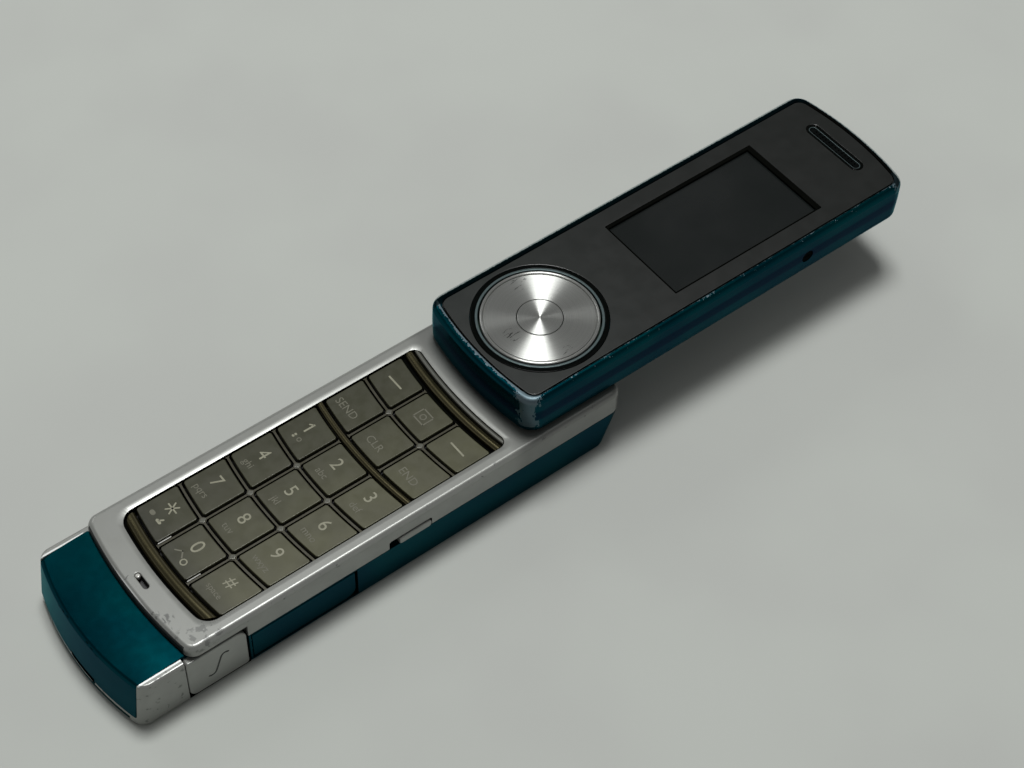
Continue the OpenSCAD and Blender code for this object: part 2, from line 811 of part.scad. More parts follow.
module side_switches() color("silver") {
  block(slider_x1 - slider_l + 1, slider_x1 - 1, -board_half + 0.7, -board_half + 3,
    board_z + board_t, key_board_z - fit_gap);
  for (s = [-1, 1])
    block(rocker_x + s * 4.2 - 1.5, rocker_x + s * 4.2 + 1.5,
      base_inner_half - 2.9, base_inner_half - rocker_play - 0.6, rocker_z, board_z);
}

// ---- Moving parts of the base ----

module battery_cover() color("teal") intersection() {
  rear_form();
  block(-chin_reach - 1, cover_x1, -cover_w / 2, cover_w / 2, seat_gap, cover_t);
}

// A door plate with a knuckled end, cleared for its two ears
module side_door(axis_x, l, z0, h, corner) {
  difference() {
    union() {
      upright(axis_x, door_y, knuckle_r, z0, z0 + h);
      door_plate(axis_x, l, z0, h, corner);
    }
    upright(axis_x, door_y, pin_r + running_fit, z0 - cut, z0 + h + cut);
    for (z = ear_heights(z0, h))
      block(axis_x - 2, axis_x + knuckle_r + 0.2, door_y - 2, door_y + 2, z - 0.1, z + ear_t + 0.1);
  }
}

module door_plate(axis_x, l, z0, h, corner) {
  translate([0, door_y + knuckle_r, 0])
    rotate([90, 0, 0])
      linear_extrude(door_t)
        difference() {
          translate([axis_x, z0]) square([l, h]);
          for (z = [z0, z0 + h])
            translate([axis_x + l, z]) square(2 * corner, center = true);
        }
  // Rounded corners at the free end
  for (z = [z0 + corner, z0 + h - corner])
    translate([axis_x + l - corner, door_y + knuckle_r, z])
      rotate([90, 0, 0]) cylinder(r = corner, h = door_t);
}

module headset_door() color("silver") {
  side_door(headset_axis_x, headset_x0 + headset_door_l + door_gap - headset_axis_x, headset_z0,
    cheek_h - headset_z0, 1);
}

module port_door() color("teal") {
  side_door(port_axis_x, port_x0 + port_door_l + door_gap - port_axis_x, port_z0, port_door_h, 1.8);
}

// A knob through the notch with a flange behind the wall
module hold_slider() color("silver") {
  block(slider_x1 - slider_l, slider_x1, -base_w / 2 - slider_proud, -board_half - slide_gap,
    slider_z, slider_z + slider_h);
  block(slider_x1 - slider_l - slider_flange, slider_x1 + slider_flange, -base_inner_half + slide_gap,
    -board_half - slide_gap, slider_z, slider_z + slider_h);
}

// A bar with a lug that rocks on a pin of the rear case
module volume_rocker() color("silver") difference() {
  union() {
    block(rocker_x - rocker_l / 2, rocker_x + rocker_l / 2, base_w / 2 + rocker_proud - rocker_t,
      base_w / 2 + rocker_proud, rocker_z, rocker_z + rocker_h);
    upright(rocker_x, rocker_pin_y, rocker_lug_r, rocker_z, rocker_z + rocker_h);
  }
  upright(rocker_x, rocker_pin_y, rocker_pin_r + running_fit, rocker_z - cut, rocker_z + rocker_h + cut);
}

// ---- Lid ----

module lid_form() {
  form(lid_plan, [
    [lid_z, 0.7, 0.7, 0.9], [lid_z + 0.3, 0.25, 0.25, 0.4], [lid_z + 0.9, 0.05, 0.05, 0.15],
    [crease_z, 0, 0, 0], [lid_top - 1.2, 0.1, 0.1, 0.15], [lid_top - 0.6, 0.3, 0.3, 0.37],
    [lid_top - 0.2, 0.6, 0.6, 0.65], [lid_top, 0.9, 0.9, 0.95]
  ]);
}

module lid_frame() color("teal") difference() {
  union() {
    difference() {
      lid_form();
      block(-2 * lid_near, 2 * lid_far, -lid_w, lid_w, lid_z - 1, lid_seam);
      slab(inset(lid_plan, lid_wall, lid_wall, lid_wall), lid_seam - cut, panel_z - ledge_t);
      slab(inset(lid_plan, lid_wall + ledge_w, lid_wall + ledge_w, lid_wall + ledge_w),
        lid_seam, lid_top + cut);
      panel_seat(0, lid_top + cut);
    }
    wheel_deck();
    for (x = lid_screw_xs)
      for (s = [-1, 1])
        lid_boss(x, s);
  }
  upright(wheel_x, 0, stem_r + running_fit, deck_z - cut, lid_top);
  translate([plug_x, -lid_w, plug_z])
    rotate([-90, 0, 0]) cylinder(r = plug_r + fit_gap / 2, h = lid_w / 2 + plug_depth);
  for (x = lid_screw_xs)
    for (s = [-1, 1])
      upright(x, s * lid_screw_y, screw_r, lid_floor_z - cut, deck_z - 0.4);
}

// Screw boss with a web to the side wall
module lid_boss(x, s) {
  top = x < 0 ? deck_z + cut : panel_z - seat_gap;
  upright(x, s * lid_screw_y, boss_r, lid_floor_z + seat_gap, top);
  translate([x - 0.4, s > 0 ? lid_screw_y : -lid_w / 2 + lid_wall / 2, lid_floor_z + seat_gap])
    cube([0.8, lid_w / 2 - lid_wall / 2 - lid_screw_y, top - lid_floor_z - seat_gap]);
}

// Seat of the face panel, grown by a margin
module panel_seat(grow, z1) {
  slab(inset(lid_plan, panel_edge - grow, panel_edge - grow, panel_edge + 0.1 - grow), panel_z, z1);
}

// Cup under the wheel with a hub that the wheel turns on
module wheel_deck() {
  intersection() {
    union() {
      upright(wheel_x, 0, deck_r, deck_z, deck_top);
      difference() {
        upright(wheel_x, 0, deck_r, deck_z, panel_z - seat_gap);
        upright(wheel_x, 0, wheel_r + 0.3, deck_z - cut, panel_z);
      }
      upright(wheel_x, 0, hub_r, deck_z, wheel_z - 0.1);
      block(-lid_near, wheel_x, -lid_w, lid_w, deck_z, deck_top - 0.2);
    }
    slab(inset(lid_plan, lid_wall - cut, lid_wall, lid_wall - cut), deck_z, panel_z);
  }
}

module lid_rear_cover() color("teal") difference() {
  lid_form();
  block(-2 * lid_near, 2 * lid_far, -lid_w, lid_w, lid_floor_z, lid_top + 1);
  upright(0, 0, shaft_r + fit_gap / 2, lid_z - cut, lid_floor_z + cut);
  upright(camera_x, 0, camera_hole_r, lid_z - cut, lid_floor_z + cut);
  upright(camera_x, 0, camera_glass_r + fit_gap, lid_z - cut, lid_z + camera_glass_t + seat_gap);
  for (x = lid_screw_xs)
    for (s = [-1, 1]) {
      upright(x, s * lid_screw_y, screw_r + 0.05, lid_z - cut, lid_floor_z + cut);
      upright(x, s * lid_screw_y, head_r + fit_gap, lid_z - cut, lid_z + head_t + fit_gap);
    }
}

module face_panel() color("dimgray") difference() {
  panel_seat(-panel_gap, panel_z + panel_t);
  upright(wheel_x, 0, wheel_hole_r, panel_z - cut, lid_top + cut);
  block(window_x, window_x + window_l, -window_w / 2, window_w / 2, panel_z - cut, lid_top + cut);
  rounded_bar(ear_x, ear_l, ear_w, panel_z - cut, lid_top + cut);
}

module display_window() color("darkslategray") {
  block(window_x + seat_gap, window_x + window_l - seat_gap,
    -window_w / 2 + seat_gap, window_w / 2 - seat_gap, panel_z, panel_z + panel_t);
}

module display_module() color("black") {
  block(window_x - 2, window_x + window_l + 2.5, -window_w / 2 - 1.6, window_w / 2 + 1.6,
    lid_board_top + seat_gap, panel_z - seat_gap);
}

module lid_board() color("darkgreen") difference() {
  union() {
    slab(inset([-lid_near, lid_board_x1, lid_w, lid_bow, 400, lid_corner, 1],
      lid_wall + 0.3, 0, lid_wall + 0.3), lid_board_z, lid_board_top);
    upright(wheel_x, 0, 1.7, lid_board_top, lid_board_top + button_switch_h);
  }
  for (s = [-1, 1]) {
    upright(lid_screw_xs[0], s * lid_screw_y, boss_r + 0.15, lid_board_z - cut, lid_board_top + cut);
    translate([lid_screw_xs[0] - 0.6, s > 0 ? lid_screw_y : -lid_w / 2, lid_board_z - cut])
      cube([1.2, lid_w / 2 - lid_screw_y, lid_board_t + 2 * cut]);
  }
}

module earpiece_grille() color("gray") difference() {
  rounded_bar(ear_x, ear_l - 2 * seat_gap, ear_w - 2 * seat_gap, panel_z - 0.3, panel_z + panel_t - 0.1);
  rounded_bar(ear_x, ear_l - 1.5, ear_w - 1.4, panel_z + 0.3, lid_top);
}

module earpiece_speaker() color("black") {
  rounded_bar(ear_x - 0.4, ear_l - 0.9, ear_w + 1, panel_z - 3, panel_z - 0.35);
}

module wheel_trim_ring() color("cadetblue") difference() {
  upright(wheel_x, 0, wheel_hole_r - seat_gap, panel_z - seat_gap, lid_top);
  upright(wheel_x, 0, wheel_r + 0.35, panel_z - 1, lid_top + cut);
}

module swivel_rotor() color("silver") difference() {
  union() {
    upright(0, 0, shaft_r, clip_z - 0.3, lid_floor_z + 0.8);
    upright(0, 0, flange_r, flange_z, lid_z - seat_gap);
    block(0, flange_r + stop_arm, -stop_half_w, stop_half_w, flange_z, lid_z - lid_gap);
  }
  difference() {
    upright(0, 0, shaft_r + cut, clip_z - seat_gap, clip_z + clip_t + seat_gap);
    upright(0, 0, shaft_r - groove_depth, clip_z - cut, clip_z + clip_t + cut);
  }
  upright(0, 0, shaft_bore_r, clip_z - 1, lid_floor_z + 1);
}

module swivel_clip() color("gray") difference() {
  upright(0, 0, shaft_r + 1.5, clip_z, clip_z + clip_t);
  upright(0, 0, shaft_r - groove_depth + seat_gap, clip_z - cut, clip_z + clip_t + cut);
  block(-2 * shaft_r, 0, -1.4, 1.4, clip_z - cut, clip_z + clip_t + cut);
}

module camera_module() color("black") {
  block(camera_x - camera_half, camera_x + camera_half, -camera_half, camera_half,
    lid_floor_z + seat_gap, lid_board_top - 0.2);
}

module camera_window() color("black") {
  upright(camera_x, 0, camera_glass_r, lid_z + seat_gap, lid_z + camera_glass_t);
}

module side_plug() color("black") {
  translate([plug_x, -lid_w / 2 + 0.1, plug_z])
    rotate([-90, 0, 0]) cylinder(r = plug_r, h = plug_depth - 0.15);
}

// Ribbon from the lid board down through the hollow shaft
module flex_cable() color("orange") {
  block(-0.1, 0.1, -1.9, 1.9, board_z + board_t + 0.4, lid_board_z - 0.05);
  block(-0.1, 6, -1.9, 1.9, lid_board_z - 0.25, lid_board_z - 0.05);
}

module lid_screws() color("silver") {
  for (x = lid_screw_xs)
    for (s = [-1, 1]) {
      upright(x, s * lid_screw_y, head_r, lid_z + 0.1, lid_z + head_t + fit_gap);
      upright(x, s * lid_screw_y, screw_r, lid_z + head_t, deck_z - 0.6);
    }
}

module scroll_wheel() color("silver") difference() {
  union() {
    // Dished disc with a raised rim
    translate([wheel_x, 0, 0])
      rotate_extrude()
        polygon([
          [button_r + button_clear, wheel_z], [wheel_r, wheel_z], [wheel_r, wheel_top - 0.2],
          [wheel_r - 0.2, wheel_top], [wheel_r - 0.5, wheel_top], [wheel_r - 0.7, wheel_top - 0.12],
          [button_r + button_clear, wheel_top - 0.12]
        ]);
    upright(wheel_x, 0, hub_r + running_fit + skirt_wall, deck_top + fit_gap, wheel_z + cut);
  }
  upright(wheel_x, 0, button_r + button_clear, deck_top, wheel_top + cut);
  upright(wheel_x, 0, hub_r + running_fit, deck_top, wheel_z);
}

module centre_button() color("silver") {
  upright(wheel_x, 0, button_r, wheel_z + button_travel, button_top);
  upright(wheel_x, 0, stem_r, lid_board_top + button_switch_h + button_travel + seat_gap,
    wheel_z + button_travel + cut);
}

rear_case();
front_frame();
chin_cap();
end_bracket();
keypad_frame();
keypad_mat();
key_board();
main_board();
shield_cans();
battery();
headset_jack();
charge_connector();
microphone();
loudspeaker();
vibration_motor();
antenna();
swivel_base_plate();
case_screws();
side_switches();
battery_cover();
headset_door();
port_door();
hold_slider();
volume_rocker();
key_star();
key_0();
key_hash();
key_7();
key_8();
key_9();
key_4();
key_5();
key_6();
key_1();
key_2();
key_3();
key_send();
key_clear();
key_end();
key_left_soft();
key_camera();
key_right_soft();
lid_frame();
lid_rear_cover();
face_panel();
display_window();
display_module();
lid_board();
earpiece_grille();
earpiece_speaker();
wheel_trim_ring();
swivel_rotor();
swivel_clip();
camera_module();
camera_window();
side_plug();
flex_cable();
lid_screws();
scroll_wheel();
centre_button();
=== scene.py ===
# A phone of two halves: a keypad base that lies flat and a screen lid that turns on a swivel over it.
# Everything is modelled in millimetres in the frame's axes and brought to metres when a piece is done.
import math

import bmesh
import bpy
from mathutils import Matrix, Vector


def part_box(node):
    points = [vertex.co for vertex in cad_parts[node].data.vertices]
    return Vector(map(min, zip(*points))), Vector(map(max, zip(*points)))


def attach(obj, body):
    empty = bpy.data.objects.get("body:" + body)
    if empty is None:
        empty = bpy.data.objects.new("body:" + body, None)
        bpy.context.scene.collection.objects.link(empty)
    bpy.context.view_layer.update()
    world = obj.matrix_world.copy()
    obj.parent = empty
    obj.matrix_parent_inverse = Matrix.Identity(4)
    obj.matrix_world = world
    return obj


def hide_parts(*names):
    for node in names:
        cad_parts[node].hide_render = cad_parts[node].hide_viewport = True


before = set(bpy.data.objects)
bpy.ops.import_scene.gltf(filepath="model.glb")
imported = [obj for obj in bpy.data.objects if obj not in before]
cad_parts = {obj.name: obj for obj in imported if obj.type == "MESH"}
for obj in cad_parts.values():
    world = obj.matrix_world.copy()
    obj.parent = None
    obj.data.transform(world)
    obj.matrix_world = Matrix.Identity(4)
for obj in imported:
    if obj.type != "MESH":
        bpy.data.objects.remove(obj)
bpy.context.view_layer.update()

MM = 0.001


# ---- Sizes, read from the frame ----

def span(node):
    """Lowest and highest corner of a CAD node, in millimetres."""
    low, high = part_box(node)
    return low / MM, high / MM


rear_low, rear_high = span("rear_case")
plate_low, plate_high = span("front_frame")
bracket_low, bracket_high = span("end_bracket")
cap_low, cap_high = span("chin_cap")
lattice_high = span("keypad_frame")[1]
lid_low, lid_high = span("lid_frame")
under_low, under_high = span("lid_rear_cover")
panel_low, panel_high = span("face_panel")
window_low, window_high = span("display_window")
ring_low, ring_high = span("wheel_trim_ring")
wheel_low, wheel_high = span("scroll_wheel")
button_low, button_high = span("centre_button")

# Base: heights and ends
half = plate_high.y                 # half its width
seam = rear_high.z                  # between the rear case and the plate's side walls
seam_gap = 0.05
base_far = plate_high.x
chin_end = round(bracket_low.x, 1)
plate_near = plate_low.x
plate_top = plate_high.z
plate_thickness = 1.2
plate_floor = plate_top - plate_thickness
cheek_top = bracket_high.z
cheek_inner = round(cap_high.y, 2) + 0.05
floor_top = cap_low.z - 0.05        # the bracket's floor under the chin cap
wall = 1.3

# Base: bowed and leaning ends. The lean is a slope at the chin and a length at the far end,
# and the reach says which corners of the plan lean
chin_bow, plate_bow, far_bow = 51.0, 80.0, 100.0
base_corner = 2.2
far_lean, far_reach = 2.9, 3.6
chin_lean, chin_foot, chin_reach = 0.1375, 1.2, 4.2
chin_round = 0.75

# Base: openings, and the room round what sits in them
play = 0.15
door_spare = 0.08                   # beside the edge that a door turns past
door_back = -half + 1.35
hinge_inset = 0.6
slide_travel = 1.6
cover_bed = 1.25                    # height of the battery cover's bed
swivel_opening = 6.2
sound_hole, sound_pitch = 0.45, 2.3
microphone_x = -70.8
nail_slot = (-4.75, 1.75)           # its two sides, in y
nail_depth = 1.4
nail_over, nail_under = 0.6, 0.6    # into the cap above it and the bracket below it
head_radius, counterbore = 1.05, 1.15
past_chin = -90                     # where cutters that leave the chin end

# Keypad
recess_half = 12.2
recess_near = -68.5
recess_far = -12.2
row_bow = 75.0                      # radius of the bow that all key rows share
shoulder_drop = 0.24
key_gap = 1.1
rib_width = 0.34
key_chamfer = 0.28
last_row_cut = 0.7                  # the last row's keys are shorter than their solids
print_rise = 0.015

# Lid
lid_half = lid_high.y
lid_bow = 60.0
lid_corner = 3.2
lid_bottom = under_low.z
lid_top = lid_high.z
crease = (lid_bottom + lid_top) / 2
panel_floor = panel_low.z
deck = 0.8                          # thickness of the metal under the panel
seat_near, seat_far, seat_side = panel_low.x + 0.32, panel_high.x + 0.15, panel_high.y + 0.05
shaft_opening = 4.0
lens_seat, lens_hole = 3.3, 2.2
pane_depth = 0.5                    # of the display glass below the panel
shade_side, shade_far = 0.65, 1.0     # painted shade: the black border beside the glass, on the left side and at the far end
ear_low, ear_high = span("earpiece_grille")
ear_x, ear_long, ear_wide = (ear_low.x + ear_high.x) / 2, 2 * ear_high.y, ear_high.x - ear_low.x

# Wheel
wheel_x = (wheel_low.x + wheel_high.x) / 2
wheel_radius = wheel_high.y
button_radius = button_high.y
ring_radius = ring_high.y
teal_ring_outer, dark_ring_inner = 10.46, 10.52


# ---- Hand tools ----

def bare():
    """Leaves edit mode and deselects everything."""
    if bpy.context.object and bpy.context.object.mode != "OBJECT":
        bpy.ops.object.mode_set(mode="OBJECT")
    bpy.ops.object.select_all(action="DESELECT")


def hold(piece):
    """Makes the piece the only selected one."""
    bare()
    piece.select_set(True)
    bpy.context.view_layer.objects.active = piece


def settle(name):
    """Names the new primitive and puts its place into its mesh."""
    piece = bpy.context.object
    piece.name = name
    bpy.ops.object.transform_apply(location=True, rotation=True, scale=True)
    return piece


def set_down(piece, place=(0, 0, 0), turn=(0, 0, 0), size=(1, 1, 1)):
    """Sizes, turns and moves a piece, and puts that into its mesh."""
    hold(piece)
    piece.location, piece.rotation_euler, piece.scale = place, turn, size
    bpy.ops.object.transform_apply(location=True, rotation=True, scale=True)
    return piece


def block(low, high, name="block"):
    bare()
    low, high = Vector(low), Vector(high)
    bpy.ops.mesh.primitive_cube_add(size=1, location=(low + high) / 2, scale=high - low)
    return settle(name)


def rod(centre, radius, length, axis="Z", sides=64, name="rod"):
    bare()
    turn = {"Z": (0, 0, 0), "Y": (math.pi / 2, 0, 0), "X": (0, math.pi / 2, 0)}[axis]
    bpy.ops.mesh.primitive_cylinder_add(
        vertices=sides, radius=radius, depth=length, location=centre, rotation=turn)
    return settle(name)


def upright(x, y, radius, z0, z1, sides=64, name="rod"):
    return rod((x, y, (z0 + z1) / 2), radius, z1 - z0, "Z", sides, name)


def pick(piece, kind, test):
    """Selects the verts, edges or faces that pass the test and stays in edit mode."""
    hold(piece)
    bpy.ops.object.mode_set(mode="EDIT")
    bpy.ops.mesh.select_mode(type={"verts": "VERT", "edges": "EDGE", "faces": "FACE"}[kind])
    bpy.ops.mesh.select_all(action="DESELECT")
    mesh = bmesh.from_edit_mesh(piece.data)
    for part in getattr(mesh, kind):
        if test(part):
            part.select_set(True)
    mesh.select_flush_mode()
    bmesh.update_edit_mesh(piece.data)


def pick_all(piece):
    """Selects every face and stays in edit mode."""
    pick(piece, "faces", lambda face: True)


def at_level(z, reach=0.01):
    return lambda part: all(abs(v.co.z - z) < reach for v in part.verts)


def is_fold(edge, degrees=20):
    return len(edge.link_faces) == 2 and edge.calc_face_angle(0) > math.radians(degrees)


def bevel_picked(width, segments):
    bpy.ops.mesh.bevel(offset=width, segments=segments, affect="EDGES", profile=0.5, clamp_overlap=True)


def shift(piece, test, move):
    """Moves the corners that pass the test."""
    pick(piece, "verts", test)
    bpy.ops.transform.translate(value=move)
    bare()


def round_rim(piece, z, width, segments=4, where=lambda edge: True):
    """Rounds the folded edges that lie at one height."""
    level = at_level(z)
    pick(piece, "edges", lambda e: level(e) and is_fold(e) and where(e))
    bevel_picked(width, segments)
    bare()


def round_edges(piece, width, segments, where):
    pick(piece, "edges", lambda e: is_fold(e) and where(e))
    bevel_picked(width, segments)
    bare()


def middle(part):
    return sum((v.co for v in part.verts), Vector()) / len(part.verts)


EVERYWHERE = (-math.inf, math.inf)


def above(value):
    return (value, math.inf)


def below(value):
    return (-math.inf, value)


def within(x=EVERYWHERE, y=EVERYWHERE, z=EVERYWHERE):
    """A test for edges and faces: does the middle lie between these limits?"""
    return lambda part: all(low < v < high for v, (low, high) in zip(middle(part), (x, y, z)))


def on_plane(axis, value, reach=0.01):
    """A test for edges and faces: does the middle lie on this plane?"""
    return lambda part: abs(getattr(middle(part), axis) - value) < reach


def combine(piece, how, cutters):
    for cutter in cutters:
        hold(piece)
        cut = piece.modifiers.new("cut", "BOOLEAN")
        cut.operation, cut.solver, cut.object = how, "EXACT", cutter
        bpy.ops.object.modifier_apply(modifier=cut.name)
        bpy.data.objects.remove(cutter, do_unlink=True)
    return piece


def carve(piece, *cutters):
    return combine(piece, "DIFFERENCE", cutters)


def keep_inside(piece, *cutters):
    return combine(piece, "INTERSECT", cutters)


def weld(piece, *others):
    return combine(piece, "UNION", others)


def slice_off(piece, point, normal):
    """Cuts the piece with a plane and drops what lies on the normal's side."""
    pick_all(piece)
    bpy.ops.mesh.bisect(plane_co=point, plane_no=normal, use_fill=True, clear_outer=True)
    bare()
    return piece


def turn_out(piece):
    """Merges doubles and turns every face outwards."""
    pick_all(piece)
    bpy.ops.mesh.remove_doubles(threshold=0.0005)
    bpy.ops.mesh.normals_make_consistent(inside=False)
    bare()
    return piece


def copy_of(piece, name):
    hold(piece)
    bpy.ops.object.duplicate()
    twin = bpy.context.object
    twin.name = name
    return twin


def join(name, *pieces):
    bare()
    for p in pieces:
        p.select_set(True)
    bpy.context.view_layer.objects.active = pieces[0]
    if len(pieces) > 1:
        bpy.ops.object.join()
    pieces[0].name = name
    return pieces[0]


class Pen:
    """Draws a line in a plane, point by point, with straight strokes and turns about a centre."""

    def __init__(self, x, y, z=0.0):
        bare()
        self.x, self.y, self.z = x, y, z
        bpy.ops.mesh.primitive_plane_add(size=1, location=(x, y, z))
        bpy.ops.object.transform_apply(location=True, rotation=True, scale=True)
        self.piece = bpy.context.object
        bpy.ops.object.mode_set(mode="EDIT")
        bpy.ops.mesh.select_mode(type="VERT")
        bpy.ops.mesh.select_all(action="SELECT")
        bpy.ops.mesh.merge(type="CENTER")

    def to(self, x, y):
        bpy.ops.mesh.extrude_region_move(
            TRANSFORM_OT_translate={"value": (x - self.x, y - self.y, 0)})
        self.x, self.y = x, y
        return self

    def turn(self, cx, cy, degrees, steps):
        angle = math.radians(degrees)
        bpy.ops.mesh.spin(steps=steps, angle=-angle, center=(cx, cy, self.z), axis=(0, 0, 1))
        dx, dy = self.x - cx, self.y - cy
        self.x = cx + dx * math.cos(angle) - dy * math.sin(angle)
        self.y = cy + dx * math.sin(angle) + dy * math.cos(angle)
        return self

    def line(self, name):
        """The open line, as edges."""
        bpy.ops.mesh.select_all(action="SELECT")
        bpy.ops.mesh.remove_doubles(threshold=0.0005)
        bare()
        self.piece.name = name
        return self.piece

    def sheet(self, name):
        """The closed line, filled with one face."""
        bpy.ops.mesh.select_all(action="SELECT")
        bpy.ops.mesh.remove_doubles(threshold=0.0005)
        bpy.ops.mesh.edge_face_add()
        bare()
        self.piece.name = name
        return self.piece


def raise_sheet(sheet, height):
    """Pulls a flat sheet up into a solid."""
    pick_all(sheet)
    bpy.ops.mesh.extrude_region_move(TRANSFORM_OT_translate={"value": (0, 0, height)})
    bpy.ops.mesh.select_all(action="SELECT")
    bpy.ops.mesh.normals_make_consistent(inside=False)
    bare()
    return sheet


def stand_up(piece):
    """Turns a drawing from the XY plane into the XZ plane: its y becomes z."""
    return set_down(piece, turn=(math.pi / 2, 0, 0))


def grow_outline(piece, test, grow, near, far, side, z):
    """Grows the corners that pass the test by a margin, lengthwise and across."""
    pick(piece, "verts", test)
    bpy.ops.transform.resize(value=(1 + 2 * grow / (far - near), 1 + grow / side, 1),
                             center_override=((near + far) / 2, 0, z))
    bare()
    return piece


def bowed_plan(near, far, side, near_bow, far_bow, near_corner, far_corner, z, z1, name="plan"):
    """A solid with straight sides, bowed ends and rounded corners."""
    pen = None
    for x, bow, corner, way in ((far, far_bow, far_corner, 1), (near, near_bow, near_corner, -1)):
        corner_y = side - corner
        reach = math.sqrt((bow - corner) ** 2 - corner_y ** 2)
        swing = math.degrees(math.atan2(corner_y, reach))
        cx = x - way * bow
        corner_x = cx + way * reach
        if pen is None:
            pen = Pen(corner_x, -side, z)
            start = corner_x
        else:
            pen.to(corner_x, side)
        pen.turn(corner_x, -way * corner_y, 90 - swing, 8)
        pen.turn(cx, 0, 2 * swing, 40)
        pen.turn(corner_x, way * corner_y, 90 - swing, 8)
    pen.to(start, -side)
    return raise_sheet(pen.sheet(name), z1 - z)


def sag(y, bow=row_bow):
    return bow - math.sqrt(bow * bow - y * y)


def recess_plan(grow, z, z1, name="recess"):
    """The keypad opening, grown by a margin: both ends bow toward the chin."""
    side = recess_half + grow
    near, far = recess_near - grow, recess_far + grow
    near_corner, far_corner = 2.8 + grow, 1.5 + grow
    bow = row_bow + grow
    corner_y = side - near_corner
    reach = math.sqrt((bow - near_corner) ** 2 - corner_y ** 2)
    swing = math.degrees(math.atan2(corner_y, reach))
    near_cx = near + bow
    near_corner_x = near_cx - reach
    far_y = side - far_corner
    far_corner_x = far + sag(far_y) - far_corner
    far_swing = math.degrees(math.asin(far_y / row_bow))
    pen = Pen(near_corner_x, side, z)
    pen.turn(near_corner_x, corner_y, 90 - swing, 8)
    pen.turn(near_cx, 0, 2 * swing, 36)
    pen.turn(near_corner_x, -corner_y, 90 - swing, 8)
    pen.to(far_corner_x, -side)
    pen.turn(far_corner_x, -far_y, 90, 8)
    pen.turn(far + row_bow, 0, -2 * far_swing, 36)
    pen.turn(far_corner_x, far_y, 90, 8)
    pen.to(near_corner_x, side)
    return raise_sheet(pen.sheet(name), z1 - z)


def bowed_cell(x0, x1, y0, y1, chamfer, z, z1, name="cell", steps=8):
    """A key or a bar: two bowed edges and four cut corners."""
    def angle(y):
        return math.degrees(math.asin(y / row_bow))

    pen = Pen(x0 + sag(y1 - chamfer), y1 - chamfer, z)
    pen.turn(x0 + row_bow, 0, angle(y1 - chamfer) - angle(y0 + chamfer), steps)
    pen.to(x0 + sag(y0) + chamfer, y0)
    pen.to(x1 + sag(y0) - chamfer, y0)
    pen.to(x1 + sag(y0 + chamfer), y0 + chamfer)
    pen.turn(x1 + row_bow, 0, angle(y0 + chamfer) - angle(y1 - chamfer), steps)
    pen.to(x1 + sag(y1) - chamfer, y1)
    pen.to(x0 + sag(y1) + chamfer, y1)
    pen.to(x0 + sag(y1 - chamfer), y1 - chamfer)
    return raise_sheet(pen.sheet(name), z1 - z)


def slot_plan(x, length, width, z, z1, name="slot"):
    """A long hole or bar with round ends, along Y."""
    r, end = width / 2, length / 2 - width / 2
    pen = Pen(x + r, -end, z)
    pen.to(x + r, end)
    pen.turn(x, end, 180, 14)
    pen.to(x - r, -end)
    pen.turn(x, -end, 180, 14)
    return raise_sheet(pen.sheet(name), z1 - z)


def side_plan(x0, x1, z0, z1, corners, y, y1, name="plate"):
    """An upright plate in the XZ plane. corners: near bottom, far bottom, far top, near top."""
    a, b, c, d = corners
    pen = Pen(x0 + a, z0)
    pen.to(x1 - b, z0).turn(x1 - b, z0 + b, 90, 8)
    pen.to(x1, z1 - c).turn(x1 - c, z1 - c, 90, 8)
    pen.to(x0 + d, z1).turn(x0 + d, z1 - d, 90, 8)
    pen.to(x0, z0 + a).turn(x0 + a, z0 + a, 90, 8)
    plate = stand_up(pen.sheet(name))
    pick_all(plate)
    bpy.ops.transform.translate(value=(0, y, 0))
    bpy.ops.mesh.extrude_region_move(TRANSFORM_OT_translate={"value": (0, y1 - y, 0)})
    bare()
    return turn_out(plate)


def lathe(profile, cx, cy, sides, name):
    """Spins a closed drawing, with x as radius and y as height, about an upright axis."""
    stand_up(profile)
    pick_all(profile)
    bpy.ops.mesh.spin(steps=sides, angle=2 * math.pi, center=(0, 0, 0), axis=(0, 0, 1))
    bare()
    # The face that was spun stays inside the ring, and goes
    turn_out(profile)
    pick(profile, "faces", lambda f: len(f.verts) > 4)
    bpy.ops.mesh.delete(type="ONLY_FACE")
    bare()
    turn_out(profile)
    profile.name = name
    return set_down(profile, place=(cx, cy, 0))


def sweep(sheet, cx, reach, steps):
    """Swings a standing drawing about an upright axis, by an angle to each side."""
    pick_all(sheet)
    bpy.ops.transform.rotate(value=-reach, orient_axis="Z", center_override=(cx, 0, 0))
    bpy.ops.mesh.spin(steps=steps, angle=2 * reach, center=(cx, 0, 0), axis=(0, 0, 1))
    bare()
    return turn_out(sheet)


def polish(piece, degrees=32):
    """Smooth shading that keeps flat faces flat and folds sharp."""
    hold(piece)
    bpy.ops.object.shade_smooth_by_angle(angle=math.radians(degrees))
    even = piece.modifiers.new("even", "WEIGHTED_NORMAL")
    even.keep_sharp, even.weight = True, 100
    bpy.ops.object.modifier_apply(modifier=even.name)


def paint_faces(piece, finish, test):
    """Gives the faces that pass the test a second finish."""
    if finish.name not in piece.data.materials:
        piece.data.materials.append(finish)
    pick(piece, "faces", test)
    piece.active_material_index = piece.data.materials.find(finish.name)
    bpy.ops.object.material_slot_assign()
    bare()


def hand_in(piece, body, slot, *nodes, finish=None, smooth=True):
    """Shades the piece, brings it to metres and lets it ride on its body."""
    if finish is not None and not piece.data.materials:
        piece.data.materials.append(finish)
    if smooth:
        polish(piece)
    set_down(piece, size=(MM, MM, MM))
    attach(piece, body)
    if nodes:
        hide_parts(*nodes)
    return piece


# ---- Finishes ----

